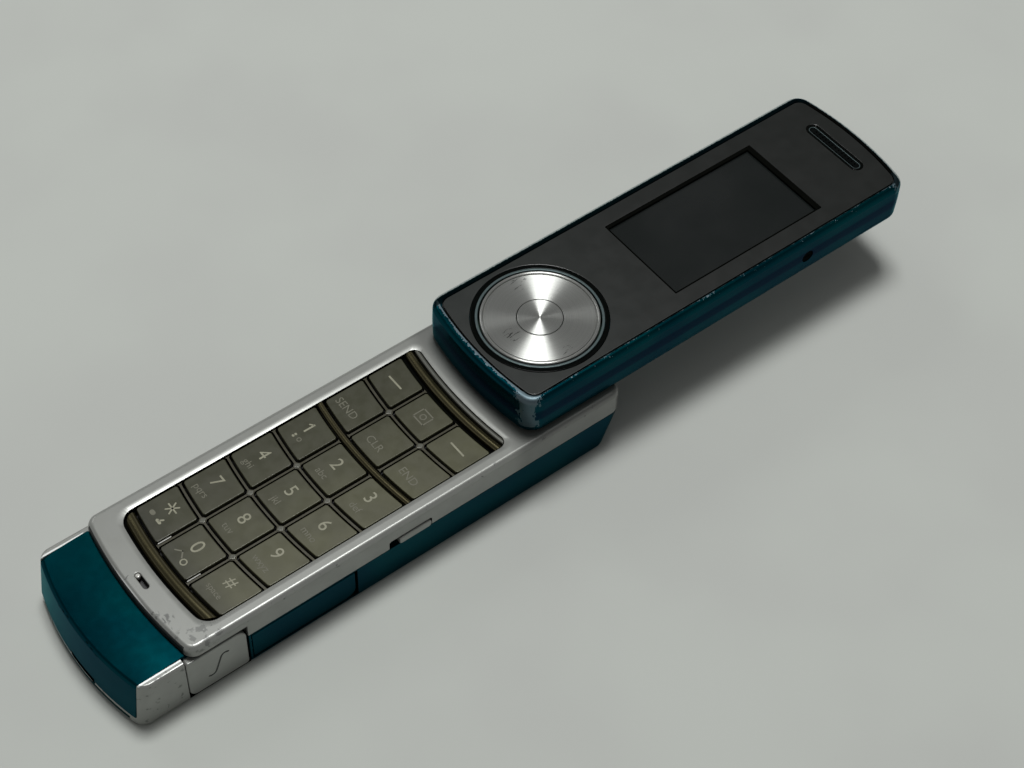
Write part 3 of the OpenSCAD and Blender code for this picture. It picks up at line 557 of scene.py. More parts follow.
def rgb(red, green, blue):
    """A screen colour, 0 to 255, as the linear colour of a shader."""
    def linear(v):
        v /= 255
        return v / 12.92 if v <= 0.04045 else ((v + 0.055) / 1.055) ** 2.4

    return (linear(red), linear(green), linear(blue), 1.0)


class Finish:
    """A procedural material, built up from the piece's own coordinates in millimetres."""

    def __init__(self, name, colour, metallic=0.0, roughness=0.5, **constants):
        self.material = bpy.data.materials.new(name)
        self.material.use_nodes = True
        self.tree = self.material.node_tree
        self.shader = self.tree.nodes["Principled BSDF"]
        self.shader.inputs["Metallic"].default_value = metallic
        self.shader.inputs["Roughness"].default_value = roughness
        self.shader.inputs["Base Color"].default_value = colour
        for socket, value in constants.items():
            self.shader.inputs[socket.replace("_", " ").title().replace("Ior", "IOR")].default_value = value
        coords = self.node("ShaderNodeTexCoord")
        scale = self.node("ShaderNodeVectorMath", operation="SCALE")
        scale.inputs["Scale"].default_value = 1 / MM
        self.tree.links.new(coords.outputs["Object"], scale.inputs[0])
        self.place = scale.outputs[0]
        split = self.node("ShaderNodeSeparateXYZ")
        self.tree.links.new(self.place, split.inputs[0])
        self.x, self.y, self.z = split.outputs

    def node(self, kind, **settings):
        made = self.tree.nodes.new(kind)
        for key, value in settings.items():
            setattr(made, key, value)
        return made

    def feed(self, socket, value):
        if isinstance(value, bpy.types.NodeSocket):
            self.tree.links.new(value, socket)
        else:
            socket.default_value = value

    def calc(self, operation, *values, clamp=False):
        made = self.node("ShaderNodeMath", operation=operation, use_clamp=clamp)
        for socket, value in zip(made.inputs, values):
            self.feed(socket, value)
        return made.outputs[0]

    def ease(self, value, low, high, start=0.0, end=1.0):
        """From start at low to end at high, level outside them."""
        made = self.node("ShaderNodeMapRange", interpolation_type="SMOOTHSTEP")
        for socket, v in zip(made.inputs, (value, low, high, start, end)):
            self.feed(socket, v)
        return made.outputs[0]

    def stretch(self, scale):
        made = self.node("ShaderNodeMapping")
        self.tree.links.new(self.place, made.inputs["Vector"])
        made.inputs["Scale"].default_value = scale
        return made.outputs[0]

    def noise(self, scale, detail=3.0, stretch=None, rough=0.5, distortion=0.0):
        made = self.node("ShaderNodeTexNoise")
        self.tree.links.new(self.stretch(stretch) if stretch else self.place, made.inputs["Vector"])
        made.inputs["Scale"].default_value = scale
        made.inputs["Detail"].default_value = detail
        made.inputs["Roughness"].default_value = rough
        made.inputs["Distortion"].default_value = distortion
        return made.outputs["Fac"]

    def mix(self, factor, a, b):
        made = self.node("ShaderNodeMix", data_type="RGBA")
        for name, value in (("Factor", factor), ("A", a), ("B", b)):
            socket = [s for s in made.inputs if s.name == name and s.enabled][0]
            self.feed(socket, value)
        return [s for s in made.outputs if s.enabled][0]

    def waver(self, scale, detail, reach=1.0, **more):
        """Noise that goes to both sides of 0."""
        return self.calc("MULTIPLY", self.calc("SUBTRACT", self.noise(scale, detail, **more), 0.5), reach)

    def plus(self, value, other, share):
        """A value and a share of another one."""
        return self.calc("ADD", value, self.calc("MULTIPLY", other, share))

    def dot(self, x, y, reach):
        """1 at a place in plan, falling to 0 at reach."""
        dx, dy = self.calc("SUBTRACT", self.x, x), self.calc("SUBTRACT", self.y, y)
        far = self.calc("SQRT", self.plus(self.calc("MULTIPLY", dx, dx), dy, dy))
        return self.ease(far, 0.0, reach, 1.0, 0.0)

    def both(self, *masks):
        found = masks[0]
        for mask in masks[1:]:
            found = self.calc("MULTIPLY", found, mask)
        return found

    def most(self, *masks):
        found = masks[0]
        for mask in masks[1:]:
            found = self.calc("MAXIMUM", found, mask)
        return found

    def bump(self, height, depth, strength=1.0):
        """Relief of a depth in millimetres."""
        made = self.node("ShaderNodeBump")
        made.inputs["Strength"].default_value = strength
        made.inputs["Distance"].default_value = depth * MM
        self.feed(made.inputs["Height"], height)
        self.feed(self.shader.inputs["Normal"], made.outputs["Normal"])

    def set(self, socket, value):
        self.feed(self.shader.inputs[socket], value)
        return self


TEAL = rgb(0, 60, 66)
TEAL_DEEP = rgb(0, 50, 60)
NAVY_REFLECTION = rgb(0, 26, 44)
PRIMER = rgb(88, 102, 108)
SILVER = rgb(138, 140, 135)
SILVER_DARK = rgb(122, 124, 120)
SCUFF = rgb(70, 72, 70)
RIM_HIGHLIGHT = rgb(150, 155, 151)
LIP_SHADE = rgb(6, 14, 15)
CHEEK_HIGHLIGHT = rgb(232, 235, 232)


def teal_metal(name, wear=None):
    """Teal lacquer over metal flakes. wear(finish) gives the mask where the grey primer shows; the lid's worn finish
    also gets a painted dark reflection band along the crease, a painted highlight on the lip's outer edge and
    painted shade on its inner edge.
    """
    f = Finish(name, TEAL, metallic=0.85, roughness=0.25, specular_ior_level=0.05, specular_tint=rgb(0, 186, 196),
               coat_weight=0.04, coat_roughness=0.08)
    clouds = f.noise(0.09, 1.0)
    flakes = f.noise(12.0, 2.0)
    colour = f.mix(f.ease(clouds, 0.3, 0.7), TEAL, TEAL_DEEP)
    colour = f.mix(f.ease(flakes, 0.6, 0.8, 0.0, 0.05), colour, rgb(30, 110, 116))
    roughness = f.ease(f.noise(0.6, 2.0), 0.3, 0.75, 0.24, 0.27)
    if wear:
        # Painted reflection: a dark navy band along the crease of the lid's walls
        line = f.both(f.ease(f.z, crease - 1.1, crease - 0.5), f.ease(f.z, crease + 1.5, crease + 0.9))
        colour = f.mix(f.calc("MULTIPLY", line, 0.8), colour, NAVY_REFLECTION)
        mask = wear(f)
        colour = f.mix(mask, colour, PRIMER)
        # Painted highlight along the lip's outer edge, not metallic where it lies, and painted shade along its inner
        # edge
        rim, shaded_lip = rim_highlight_and_shade(f)
        colour = f.mix(shaded_lip, colour, LIP_SHADE)
        colour = f.mix(rim, colour, RIM_HIGHLIGHT)
        f.set("Metallic", f.ease(rim, 0.0, 1.0, 0.85, 0.0))
        roughness = f.plus(roughness, mask, 0.2)
        f.bump(f.calc("SUBTRACT", f.calc("MULTIPLY", flakes, 0.05), mask), 0.02, 0.5)
    else:
        f.bump(flakes, 0.001, 0.2)
    f.set("Base Color", colour).set("Roughness", roughness)
    return f.material


def from_end(f, end, way):
    """How far a point lies inside the lid's bowed near or far end."""
    bow = f.calc("DIVIDE", f.calc("MULTIPLY", f.y, f.y), 2 * lid_bow)
    return f.calc("SUBTRACT", f.calc("MULTIPLY", f.calc("SUBTRACT", f.x, end), way), bow)


def lid_wear(f):
    """Rubbed paint on the lid: a ragged line along the upper edge and bare corners."""
    chips = f.waver(1.3, 5.0, rough=0.6)
    fine = f.waver(4.0, 4.0)
    near = from_end(f, lid_low.x, 1)
    side = f.calc("ADD", f.y, lid_half)
    upper = f.ease(f.z, lid_top - 0.8, lid_top - 0.6)

    def rubbed(inset, start, end, raggedness):
        shifted = f.plus(inset, chips, raggedness)
        return f.both(upper, f.ease(shifted, start, start + 0.12), f.ease(inset, end, end - 0.1))

    edge_near = rubbed(near, 1.02, 1.5, 1.5)
    edge_right = rubbed(side, 1.16, 1.36, 1.6)
    drop = f.both(upper, f.ease(side, 1.2, 1.0), f.ease(chips, 0.13, 0.17), f.ease(side, 0.3, 0.5))
    corner = f.dot(lid_low.x + 2.4, -lid_half + 2.2, 3.6)
    bare_corner = f.both(f.ease(f.plus(corner, fine, 1.6), 0.42, 0.52), f.ease(f.z, lid_top - 1.0, lid_top - 0.7))
    far_corner = f.dot(lid_high.x - 1.9, -lid_half + 1.2, 4.2)
    bare_far = f.both(f.ease(f.plus(far_corner, fine, 1.4), 0.45, 0.55), f.ease(f.z, lid_top - 2.0, lid_top - 1.2))
    post = f.dot(lid_low.x + 1.5, -lid_half + 1.2, 3.5)
    streaks = f.waver(1.6, 5.0, 2.0, stretch=(1.0, 1.0, 0.5))
    bare_post = f.both(f.ease(f.calc("ADD", post, streaks), 0.52, 0.6), 0.9)
    return f.calc("MINIMUM", f.most(edge_near, edge_right, drop, bare_corner, bare_far, bare_post), 1.0)


def rim_highlight_and_shade(f):
    """Masks of a painted highlight on the outer edge and painted shade on the inner edge of the lip, on the left
    side and at the far end.
    """
    left = f.calc("SUBTRACT", lid_half, f.y)
    far = from_end(f, lid_high.x, -1)
    thin = f.calc("ADD", f.calc("MINIMUM", left, far), f.waver(3.0, 3.0, 0.4))
    bright = f.both(f.ease(f.z, lid_top - 0.62, lid_top - 0.5), f.ease(thin, 0.85, 0.65),
                    f.ease(thin, 0.1, 0.2), 0.85)
    dark = f.both(f.ease(f.z, lid_top - 0.4, lid_top - 0.3), f.ease(thin, 0.7, 0.9),
                  f.ease(thin, 2.2, 2.0), 0.85)
    return bright, dark


# Dull spots of the plate beside the microphone slot, and a thin crack: places and reach in plan
SMEARS = ((-72.5, -6.2, 1.3), (-71.2, -8.0, 1.5), (-72.2, -9.6, 1.0))
CRACK_START, CRACK_SIDE = -71.7, 1.9
# Scratches of the wheel and its button
SCRATCHES = ((6.0, 7.2, 2.4), (-1.6, -0.2, 2.0), (3.4, -8.0, 1.6))


def plate_rubs(f):
    """Mask of the grey rubs and dark nicks of the silver paint."""
    nicks = f.noise(0.8, 5.0, rough=0.6)
    top_face = f.ease(f.z, plate_top - 0.3, plate_top - 0.15)

    low_edge = f.ease(f.x, plate_near + 1.3, plate_near + 0.5)
    cheek = f.both(f.ease(f.x, plate_near + 1.5, plate_near - 1.0), f.ease(f.y, -half + 1.3, -half + 0.7),
                   f.ease(f.z, cheek_top - 1.6, cheek_top - 0.8))
    near_rub = f.both(f.most(low_edge, cheek), f.ease(nicks, 0.6, 0.68))

    right = f.both(f.ease(f.y, -half + 1.2, -half + 0.5), f.ease(f.z, plate_top - 1.4, plate_top - 0.7))
    right_rub = f.both(right, f.ease(nicks, 0.62, 0.68))

    smear = f.ease(f.noise(1.0, 4.0, stretch=(1.6, 0.7, 1.0), distortion=1.2), 0.44, 0.53)
    places = f.most(*[f.dot(*place) for place in SMEARS])
    smears = f.both(smear, f.ease(places, 0.15, 0.5), top_face)

    off_line = f.calc("ADD", f.calc("SUBTRACT", f.y, CRACK_SIDE), f.waver(0.9, 2.0, 1.6))
    crack = f.both(f.ease(f.calc("ABSOLUTE", off_line), 0.16, 0.08), f.ease(f.x, CRACK_START, CRACK_START - 0.3),
                   top_face)

    corner = f.both(f.dot(plate_near + 3.5, -half + 0.4, 5.5), 1.6)
    corner_rub = f.both(f.ease(f.plus(nicks, corner, 0.06), 0.56, 0.64), f.ease(corner, 0.1, 0.4),
                        f.ease(f.z, plate_top - 1.6, plate_top - 1.0), 0.8)
    return f.most(near_rub, right_rub, smears, crack, corner_rub)


def silver_paint(name, scuffs=True):
    """Satin silver paint with fine grain and painted shade toward the lid, and on worn pieces grey rubs and a
    painted highlight along the cheeks' top edge.
    """
    f = Finish(name, SILVER, metallic=0.35, roughness=0.34, coat_weight=0.3, coat_roughness=0.18)
    clouds = f.noise(0.2, 2.0)
    colour = f.mix(f.ease(clouds, 0.3, 0.7, 0.0, 0.4), SILVER, SILVER_DARK)
    # Painted shade: the plate darkens toward the lid
    colour = f.mix(f.ease(f.x, recess_far - 0.5, recess_far + 3.0, 0.0, 0.6), colour, rgb(84, 86, 83))
    roughness = f.ease(clouds, 0.3, 0.7, 0.31, 0.37)
    if scuffs:
        rub = plate_rubs(f)
        colour = f.mix(f.calc("MULTIPLY", rub, 0.7), colour, SCUFF)
        # Painted highlight along the top edge of the cheeks
        inward = f.calc("SUBTRACT", f.calc("ABSOLUTE", f.y), cheek_inner)
        cheek_highlight = f.both(f.ease(f.x, plate_near + 0.6, plate_near + 0.2), f.ease(inward, 0.36, 0.24),
                            f.ease(f.z, cheek_top - 0.3, cheek_top - 0.12))
        colour = f.mix(cheek_highlight, colour, CHEEK_HIGHLIGHT)
        roughness = f.plus(roughness, rub, 0.2)
    f.set("Base Color", colour).set("Roughness", roughness)
    f.bump(f.noise(14.0, 3.0), 0.0015, 0.4)
    return f.material


def plain(name, colour, other, metallic, roughness, grain=6.0, depth=0.005, patch=0.5, **constants):
    """A finish with a second tone in soft patches, varied gloss and fine grain."""
    f = Finish(name, colour, metallic=metallic, roughness=roughness, **constants)
    patches = f.noise(patch, 3.0)
    fine = f.noise(grain, 3.0)
    f.set("Base Color", f.mix(f.ease(patches, 0.3, 0.7, 0.0, 0.6), colour, other))
    f.set("Roughness", f.ease(patches, 0.3, 0.7, roughness * 0.88, min(roughness * 1.15, 1.0)))
    f.bump(fine, depth, 0.5)
    return f.material


def key_face():
    """Olive satin key tops, darker at the left column."""
    f = Finish("key_olive", rgb(70, 70, 58), metallic=0.15, roughness=0.36, specular_ior_level=0.4,
               coat_weight=0.1, coat_roughness=0.14)
    across = f.ease(f.y, -11.0, 11.0)
    tone = f.mix(across, rgb(75, 75, 53), rgb(52, 53, 35))
    tone = f.mix(f.ease(f.x, -60.0, -66.0, 0.0, 0.6), tone, rgb(34, 35, 26))
    tone = f.mix(f.ease(f.noise(0.18, 2.0), 0.3, 0.7, 0.0, 0.3), tone, rgb(58, 57, 46))
    f.set("Base Color", tone).set("Roughness", f.ease(f.noise(0.5, 3.0), 0.3, 0.7, 0.33, 0.4))
    f.bump(f.noise(8.0, 2.0), 0.001, 0.3)
    return f.material


def dark_gloss():
    """Dark lacquer of the face panel, a little lighter round the wheel."""
    f = Finish("panel_gloss", rgb(30, 33, 28), metallic=0.1, roughness=0.34, coat_weight=0.25, coat_roughness=0.1)
    tone = f.mix(f.ease(f.x, -4.0, 34.0), rgb(24, 29, 26), rgb(13, 17, 14))
    dust = f.ease(f.noise(2.2, 4.0), 0.64, 0.76, 0.0, 0.05)
    f.set("Base Color", f.mix(dust, tone, rgb(60, 62, 58)))
    f.set("Roughness", f.ease(f.noise(0.3, 3.0), 0.3, 0.7, 0.33, 0.36))
    f.bump(f.noise(6.0, 3.0), 0.0005, 0.3)
    return f.material


def spun_metal():
    """Turned metal: fine rings about the wheel's centre, which stretch every highlight."""
    f = Finish("spun_metal", rgb(168, 170, 166), metallic=0.74, roughness=0.3, anisotropic=1.0)
    dx = f.calc("SUBTRACT", f.x, wheel_x)
    radius = f.calc("SQRT", f.plus(f.calc("MULTIPLY", dx, dx), f.y, f.y))
    rings = f.node("ShaderNodeTexNoise", noise_dimensions="1D")
    f.feed(rings.inputs["W"], radius)
    rings.inputs["Scale"].default_value = 14.0
    rings.inputs["Detail"].default_value = 4.0
    tone = f.mix(f.ease(rings.outputs["Fac"], 0.35, 0.65), rgb(152, 154, 150), rgb(178, 180, 176))
    scratch = f.ease(f.noise(1.1, 2.0, stretch=(0.4, 2.4, 1.0), distortion=1.0), 0.6, 0.64)
    places = f.most(*[f.dot(*place) for place in SCRATCHES])
    tone = f.mix(f.both(scratch, f.ease(places, 0.1, 0.4)), tone, rgb(70, 72, 70))
    f.set("Base Color", tone)
    # Highlights are stretched outwards from the centre, also when the wheel has turned
    outward = f.node("ShaderNodeCombineXYZ")
    f.feed(outward.inputs[0], dx)
    f.feed(outward.inputs[1], f.y)
    unit = f.node("ShaderNodeVectorMath", operation="NORMALIZE")
    f.feed(unit.inputs[0], outward.outputs[0])
    turned = f.node("ShaderNodeVectorTransform", vector_type="VECTOR", convert_from="OBJECT", convert_to="WORLD")
    f.feed(turned.inputs[0], unit.outputs[0])
    f.feed(f.shader.inputs["Tangent"], turned.outputs[0])
    return f.material


teal = teal_metal("teal_metal")
teal_worn = teal_metal("teal_metal_worn", lid_wear)
silver = silver_paint("silver_paint")
silver_clean = silver_paint("silver_paint_clean", scuffs=False)
olive = key_face()
legend = plain("legend_print", rgb(136, 135, 114), rgb(122, 121, 102), 0.0, 0.5)
legend_faint = plain("legend_print_faint", rgb(94, 93, 76), rgb(84, 83, 68), 0.0, 0.5)
bronze = plain("bronze_lattice", rgb(92, 87, 62), rgb(80, 76, 54), 0.85, 0.24, patch=0.2, depth=0.001,
               coat_weight=0.3, coat_roughness=0.1)
rib_olive = plain("lattice_rib", rgb(58, 56, 40), rgb(48, 46, 33), 0.3, 0.35)
stud_grey = plain("lattice_grey", rgb(92, 93, 84), rgb(80, 80, 72), 0.4, 0.3)
rim_shade = plain("recess_rim_shade", rgb(82, 83, 76), rgb(72, 73, 66), 0.2, 0.4)
# Pale finish for painted highlights on small pieces
pale_glint = plain("lattice_bare_tip", rgb(188, 188, 182), rgb(170, 170, 164), 0.3, 0.3)
plate_edge = plain("plate_edge_shade", rgb(30, 32, 31), rgb(46, 48, 46), 0.3, 0.4, patch=1.4)
# Black for dark gaps, and for painted shade in openings, slots and recesses
gap_shade_black = plain("gap_shade_black", rgb(10, 11, 9), rgb(7, 8, 7), 0.0, 0.8, specular_ior_level=0.0)
rubber = plain("dark_rubber", rgb(16, 17, 17), rgb(11, 12, 12), 0.0, 0.75)
board_green = plain("board_green", rgb(22, 74, 48), rgb(16, 58, 40), 0.0, 0.4)
steel = plain("bright_steel", rgb(190, 190, 188), rgb(165, 166, 166), 1.0, 0.28)
black_plastic = plain("black_plastic", rgb(24, 25, 25), rgb(17, 18, 18), 0.0, 0.42)
pale_plastic = plain("pale_plastic", rgb(200, 192, 168), rgb(186, 178, 154), 0.0, 0.5)
panel_gloss = dark_gloss()
glass = plain("display_glass", rgb(14, 19, 18), rgb(11, 16, 15), 0.0, 0.25, patch=0.05, coat_weight=0.7,
              coat_roughness=0.05, depth=0.001)
chrome = plain("ring_chrome", rgb(176, 186, 186), rgb(150, 160, 160), 0.9, 0.22)
ring_teal = plain("ring_teal", rgb(84, 98, 98), rgb(66, 80, 82), 0.6, 0.34)
mark_shade = plain("door_mark", rgb(70, 72, 70), rgb(62, 64, 62), 0.2, 0.5)
plug_black = plain("plug_rubber", rgb(14, 16, 16), rgb(9, 11, 11), 0.0, 0.6, specular_ior_level=0.0)
ring_black = plain("ring_black", rgb(5, 7, 6), rgb(3, 5, 4), 0.0, 0.2, depth=0.001, specular_ior_level=0.08)
spun = spun_metal()
amber = plain("ribbon_amber", rgb(190, 122, 40), rgb(168, 104, 34), 0.0, 0.4)


# ---- Base shells ----

def base_form(z, z1, side=half, name="base"):
    """The whole plan of the base between two heights."""
    return bowed_plan(chin_end, base_far, side, chin_bow, far_bow, base_corner, base_corner, z, z1, name)


def lean_ends(piece, top):
    """Leans the chin end back toward the top and the far end in toward the bottom."""
    shift(piece, lambda v: v.co.x < chin_end + chin_reach and abs(v.co.z - top) < 0.01,
          (chin_lean * (top - chin_foot), 0, 0))
    shift(piece, lambda v: v.co.x > base_far - far_reach and abs(v.co.z) < 0.01, (-far_lean, 0, 0))


def make_rear_case():
    case = base_form(0, seam, name="rear_shell")
    lean_ends(case, seam)
    round_rim(case, 0, 0.9, 5)
    slice_off(case, (rear_low.x, 0, 0), (-1, 0, 0))
    inner = bowed_plan(past_chin, base_far - wall - far_lean, half - wall, chin_bow, far_bow, 1, 1.2,
                       floor_top, seam + 1)
    cover_high = span("battery_cover")[1]
    battery_low, battery_high = span("battery")
    port_low, port_high = span("port_door")
    rocker_low, rocker_high = span("volume_rocker")
    screw_high = span("case_screws")[1]
    speaker_low, speaker_high = span("loudspeaker")
    speaker_x = (speaker_low.x + speaker_high.x) / 2 + 1.5
    bay = (battery_low.x - 0.3, battery_high.x + 0.3, battery_high.y + 0.3)
    carve(
        case, inner,
        block((past_chin, -cover_high.y - play, -1), (cover_high.x + play, cover_high.y + play, cover_bed)),
        block((bay[0], -bay[2], -1), (bay[1], bay[2], battery_high.z)),
        block((port_low.x - door_spare, -half - 1, port_low.z - play),
              (port_high.x + play, door_back, port_high.z + play)),
        block((rocker_low.x - 0.3, half - 1.8, rocker_low.z - play),
              (rocker_high.x + 0.3, half + 1, rocker_high.z + play)),
        *[upright(screw_high.x - head_radius, s * (screw_high.y - head_radius), counterbore, -1, 0.6, 32)
          for s in (-1, 1)],
        *[upright(speaker_x, i * sound_pitch, sound_hole, -1, floor_top + 1, 24) for i in range(-2, 3)])
    # Walls behind the port door, with the connector's slot
    socket_low, socket_high = span("charge_connector")
    back = block((rear_low.x + 0.02, door_back, floor_top - 0.3), (port_high.x + 0.5, door_back + 0.6, seam - 0.02))
    carve(back, side_plan(socket_low.x + 0.6, socket_high.x - 0.6, socket_low.z + 0.6, socket_low.z + 2.3,
                          (0.5, 0.5, 0.5, 0.5), door_back - 1, door_back + 2))
    weld(case, back)
    round_rim(case, seam, 0.12, 2, lambda e: abs(middle(e).y) > half - 0.2 or middle(e).x > base_far - 2)
    round_edges(case, 0.1, 2, lambda e: abs(middle(e).x - rear_low.x) < 0.01 and abs(middle(e).y) > half - 0.05)
    case.data.materials.append(teal)
    # Painted shade on the case's faces behind the port door
    paint_faces(case, gap_shade_black, within((port_low.x - 0.1, port_high.x + 0.2), (-half + 0.05, door_back + 0.05),
                                        above(0.5)))
    hand_in(case, "base", "teal_metal", "rear_case")


def make_battery_cover():
    low, high = span("battery_cover")
    cover = bowed_plan(chin_end + 0.15, high.x, high.y, chin_bow - 0.15, 900, 0.5, 1.2, low.z, high.z,
                       "battery_cover_plate")
    round_rim(cover, low.z, 0.7, 4, within(below(chin_end + 3)))
    round_rim(cover, low.z, 0.15, 2, within(above(chin_end + 3)))
    # Thumb grip: a shallow dish with five ribs
    grip_x, grip_long, grip_wide = -12.0, 13.0, 6.5
    carve(cover, slot_plan(grip_x, grip_long, grip_wide, low.z - 1, low.z + 0.35))
    for i in range(-2, 3):
        rib = slot_plan(grip_x + i, 10.0 - abs(i) * 1.6, 0.42, low.z + 0.1, low.z + 0.5)
        round_rim(rib, low.z + 0.1, 0.15, 3)
        weld(cover, rib)
    hand_in(cover, "battery_cover", "teal_metal", "battery_cover", finish=teal)


def in_nail_slot(x, z):
    """A test for faces beside the nail slot, between limits along and up."""
    return within(x, (nail_slot[0] - 0.05, nail_slot[1] + 0.05), z)


def make_chin():
    """Teal cap: a side profile swept along the bow of the chin."""
    cx = chin_end + chin_bow
    top = cap_high.z
    ridge_x = chin_end + chin_lean * (top - chin_foot - chin_round)
    crown_x, crown_r = -74.4, 44.0
    swing = math.degrees(math.asin((crown_x - ridge_x) / crown_r))
    pen = Pen(chin_end + 0.12, cap_low.z)
    drop = crown_r - math.sqrt(crown_r ** 2 - (crown_x - ridge_x) ** 2)
    pen.to(ridge_x, top - drop)
    pen.turn(crown_x, top - crown_r, -swing, 14)
    pen.to(cap_high.x, top)
    pen.to(cap_high.x, top - 1.2)
    pen.to(ridge_x + 2.2, top - 1.9)
    pen.to(chin_end + 2.0, cap_low.z)
    pen.to(chin_end + 0.12, cap_low.z)
    cap = sweep(stand_up(pen.sheet("chin_cover")), cx, math.radians(23), 64)
    edge = Vector((ridge_x, 0, top - drop))
    round_edges(cap, chin_round, 7, lambda e: abs(middle(e).z - edge.z) < 0.02
                and abs(math.hypot(middle(e).x - cx, middle(e).y) - (cx - edge.x)) < 0.05)
    for s in (-1, 1):
        slice_off(cap, (0, s * cap_high.y, 0), (0, s, 0))
    under_plate = bowed_plan(plate_near - 0.1, base_far, half + 2, plate_bow + 0.1, far_bow, 3, 3,
                             cheek_top, top + 2)
    carve(cap, under_plate,
          block((chin_end - 1, nail_slot[0], cap_low.z - 0.05),
                (chin_end + nail_depth, nail_slot[1], cap_low.z + nail_over)))
    round_edges(cap, 0.14, 3, lambda e: abs(abs(middle(e).y) - cap_high.y) < 0.01 and middle(e).z > cap_low.z + 0.3
                and middle(e).x < plate_near)
    cap.data.materials.append(teal)
    # Painted shade in the nail slot
    beside_slot = in_nail_slot(below(chin_end + nail_depth + 0.05), below(cap_low.z + nail_over + 0.05))
    slot_floor = on_plane("x", chin_end + nail_depth)
    paint_faces(cap, gap_shade_black, lambda f: beside_slot(f) and f.normal.x > -0.9 or slot_floor(f))
    hand_in(cap, "base", "teal_metal", "chin_cap")


def make_bracket():
    """Silver bracket: floor of the chin, both cheeks and the opening for the headset plug."""
    bracket = base_form(0, cheek_top, name="chin_bracket")
    lean_ends(bracket, cheek_top)
    round_rim(bracket, 0, 0.8, 5)
    round_rim(bracket, cheek_top, 0.45, 4)
    slice_off(bracket, (bracket_high.x, 0, 0), (1, 0, 0))
    door_low = span("headset_door")[0]
    cover_high = span("battery_cover")[1]
    jack_low, jack_high = span("headset_jack")
    far = bracket_high.x + 1
    carve(
        bracket,
        block((chin_end - 1, -cheek_inner, floor_top), (door_low.x - 0.2, cheek_inner, 20)),
        block((door_low.x - 0.3, door_back + 0.6, floor_top), (far, cheek_inner, 20)),
        block((chin_end - 1, -cover_high.y - play, -1), (far, cover_high.y + play, cover_bed)),
        block((door_low.x - door_spare, -half - 1, door_low.z - play), (far, door_back, 20)),
        block((chin_end - 1, nail_slot[0], floor_top - nail_under),
              (chin_end + nail_depth, nail_slot[1], floor_top + 1)),
        rod(((jack_low.x + jack_high.x) / 2, door_back, (jack_low.z + jack_high.z) / 2), 1.9, 4, "Y", 48))
    round_edges(bracket, 0.12, 2, lambda e: abs(middle(e).x - door_low.x + door_spare) < 0.02
                and middle(e).y < -half + 0.3)
    bracket.data.materials.append(silver)
    # Painted shade on the faces behind the headset door, under the chin cap and in the nail slot
    for in_shade in (within(above(door_low.x - door_spare - 0.02), (-half + 0.12, door_back + 0.05), above(0.3)),
                   within(below(door_low.x), z=(floor_top - 0.01, floor_top + 0.01)),
                   in_nail_slot((chin_end + 0.3, chin_end + nail_depth + 0.05), (1.3, floor_top))):
        paint_faces(bracket, gap_shade_black, in_shade)
    hand_in(bracket, "base", "silver_paint", "end_bracket")


def make_plate():
    """Silver keypad plate with its side walls."""
    plate = bowed_plan(plate_near, base_far, half, plate_bow, far_bow, base_corner, base_corner,
                       seam + seam_gap, plate_top, "keypad_plate")
    round_rim(plate, plate_top, 0.95, 8)
    round_rim(plate, seam + seam_gap, 0.1, 2)
    slider_low, slider_high = span("hold_slider")
    inner = bowed_plan(plate_near + wall, base_far - wall, half - wall, plate_bow - wall, far_bow - wall, 0.9, 0.9,
                       seam - 1, plate_floor)
    notch = side_plan(slider_low.x + 0.6 - slide_travel - play, slider_high.x - 0.6 + play, seam - 1,
                      slider_high.z + play, (0.3, 0.3, 0.5, 0.5), -half - 1, -half + 1.6)
    carve(plate, recess_shoulder(1.0, shoulder_drop), inner,
          block((plate_near - 1, -half - 1, seam - 1), (rear_low.x, half + 1, cheek_top + 0.1)),
          recess_plan(0, plate_floor - 1, plate_top + 1),
          upright(0, 0, swivel_opening, plate_floor - 1, plate_top + 1, 96), notch)
    carve(plate, slot_plan(microphone_x, 3.3, 0.9, plate_floor - 1, plate_top + 1), stop_pocket())
    on_recess = within((recess_near - 0.2, recess_far + 1.5), (-recess_half - 0.05, recess_half + 0.05))
    round_edges(plate, 0.28, 4, lambda e: on_recess(e) and all(
        abs(v.co.z - plate_top + shoulder_drop) < 0.1 for v in e.verts))
    round_rim(plate, plate_top, 0.16, 3, within((microphone_x - 0.6, microphone_x + 0.6), (-1.8, 1.8)))
    plate.data.materials.append(silver)
    # Painted shade on the plate's near wall above the chin cap
    paint_faces(plate, plate_edge, lambda f: f.normal.x < -0.72 and abs(middle(f).y) < half - 1.5)
    # Painted shade: black on the keypad opening's inner walls, except the far wall
    paint_faces(plate, gap_shade_black, lambda f: abs(f.normal.z) < 0.3 and on_recess(f) and middle(f).z < plate_top - 0.4
                and f.normal.x > -0.7)
    # Painted shade in the slider's notch
    paint_faces(plate, gap_shade_black, within((slider_low.x - 1.5, slider_high.x), (-half + 0.1, -half + 1.7),
                                         below(slider_high.z + 0.3)))
    paint_faces(plate, rim_shade, lambda f: f.normal.x < -0.7 and on_recess(f) and middle(f).x > -30)
    hand_in(plate, "base", "silver_paint", "front_frame")
    # Painted highlight: a pale bead at the microphone slot's end
    bead = upright(microphone_x, 1.2, 0.42, plate_top - 0.6, plate_top - 0.04, 32, "slot_glint")
    round_rim(bead, plate_top - 0.04, 0.2, 5)
    hand_in(bead, "base", "silver_paint", finish=pale_glint)


def recess_shoulder(width, drop):
    """A shallow cutter that slopes the plate down toward the keypad opening all round."""
    cutter = recess_plan(-0.05, plate_top - drop, plate_top + 0.02, "shoulder")
    return grow_outline(cutter, lambda v: v.co.z > plate_top, width, recess_near, recess_far, recess_half, plate_top)


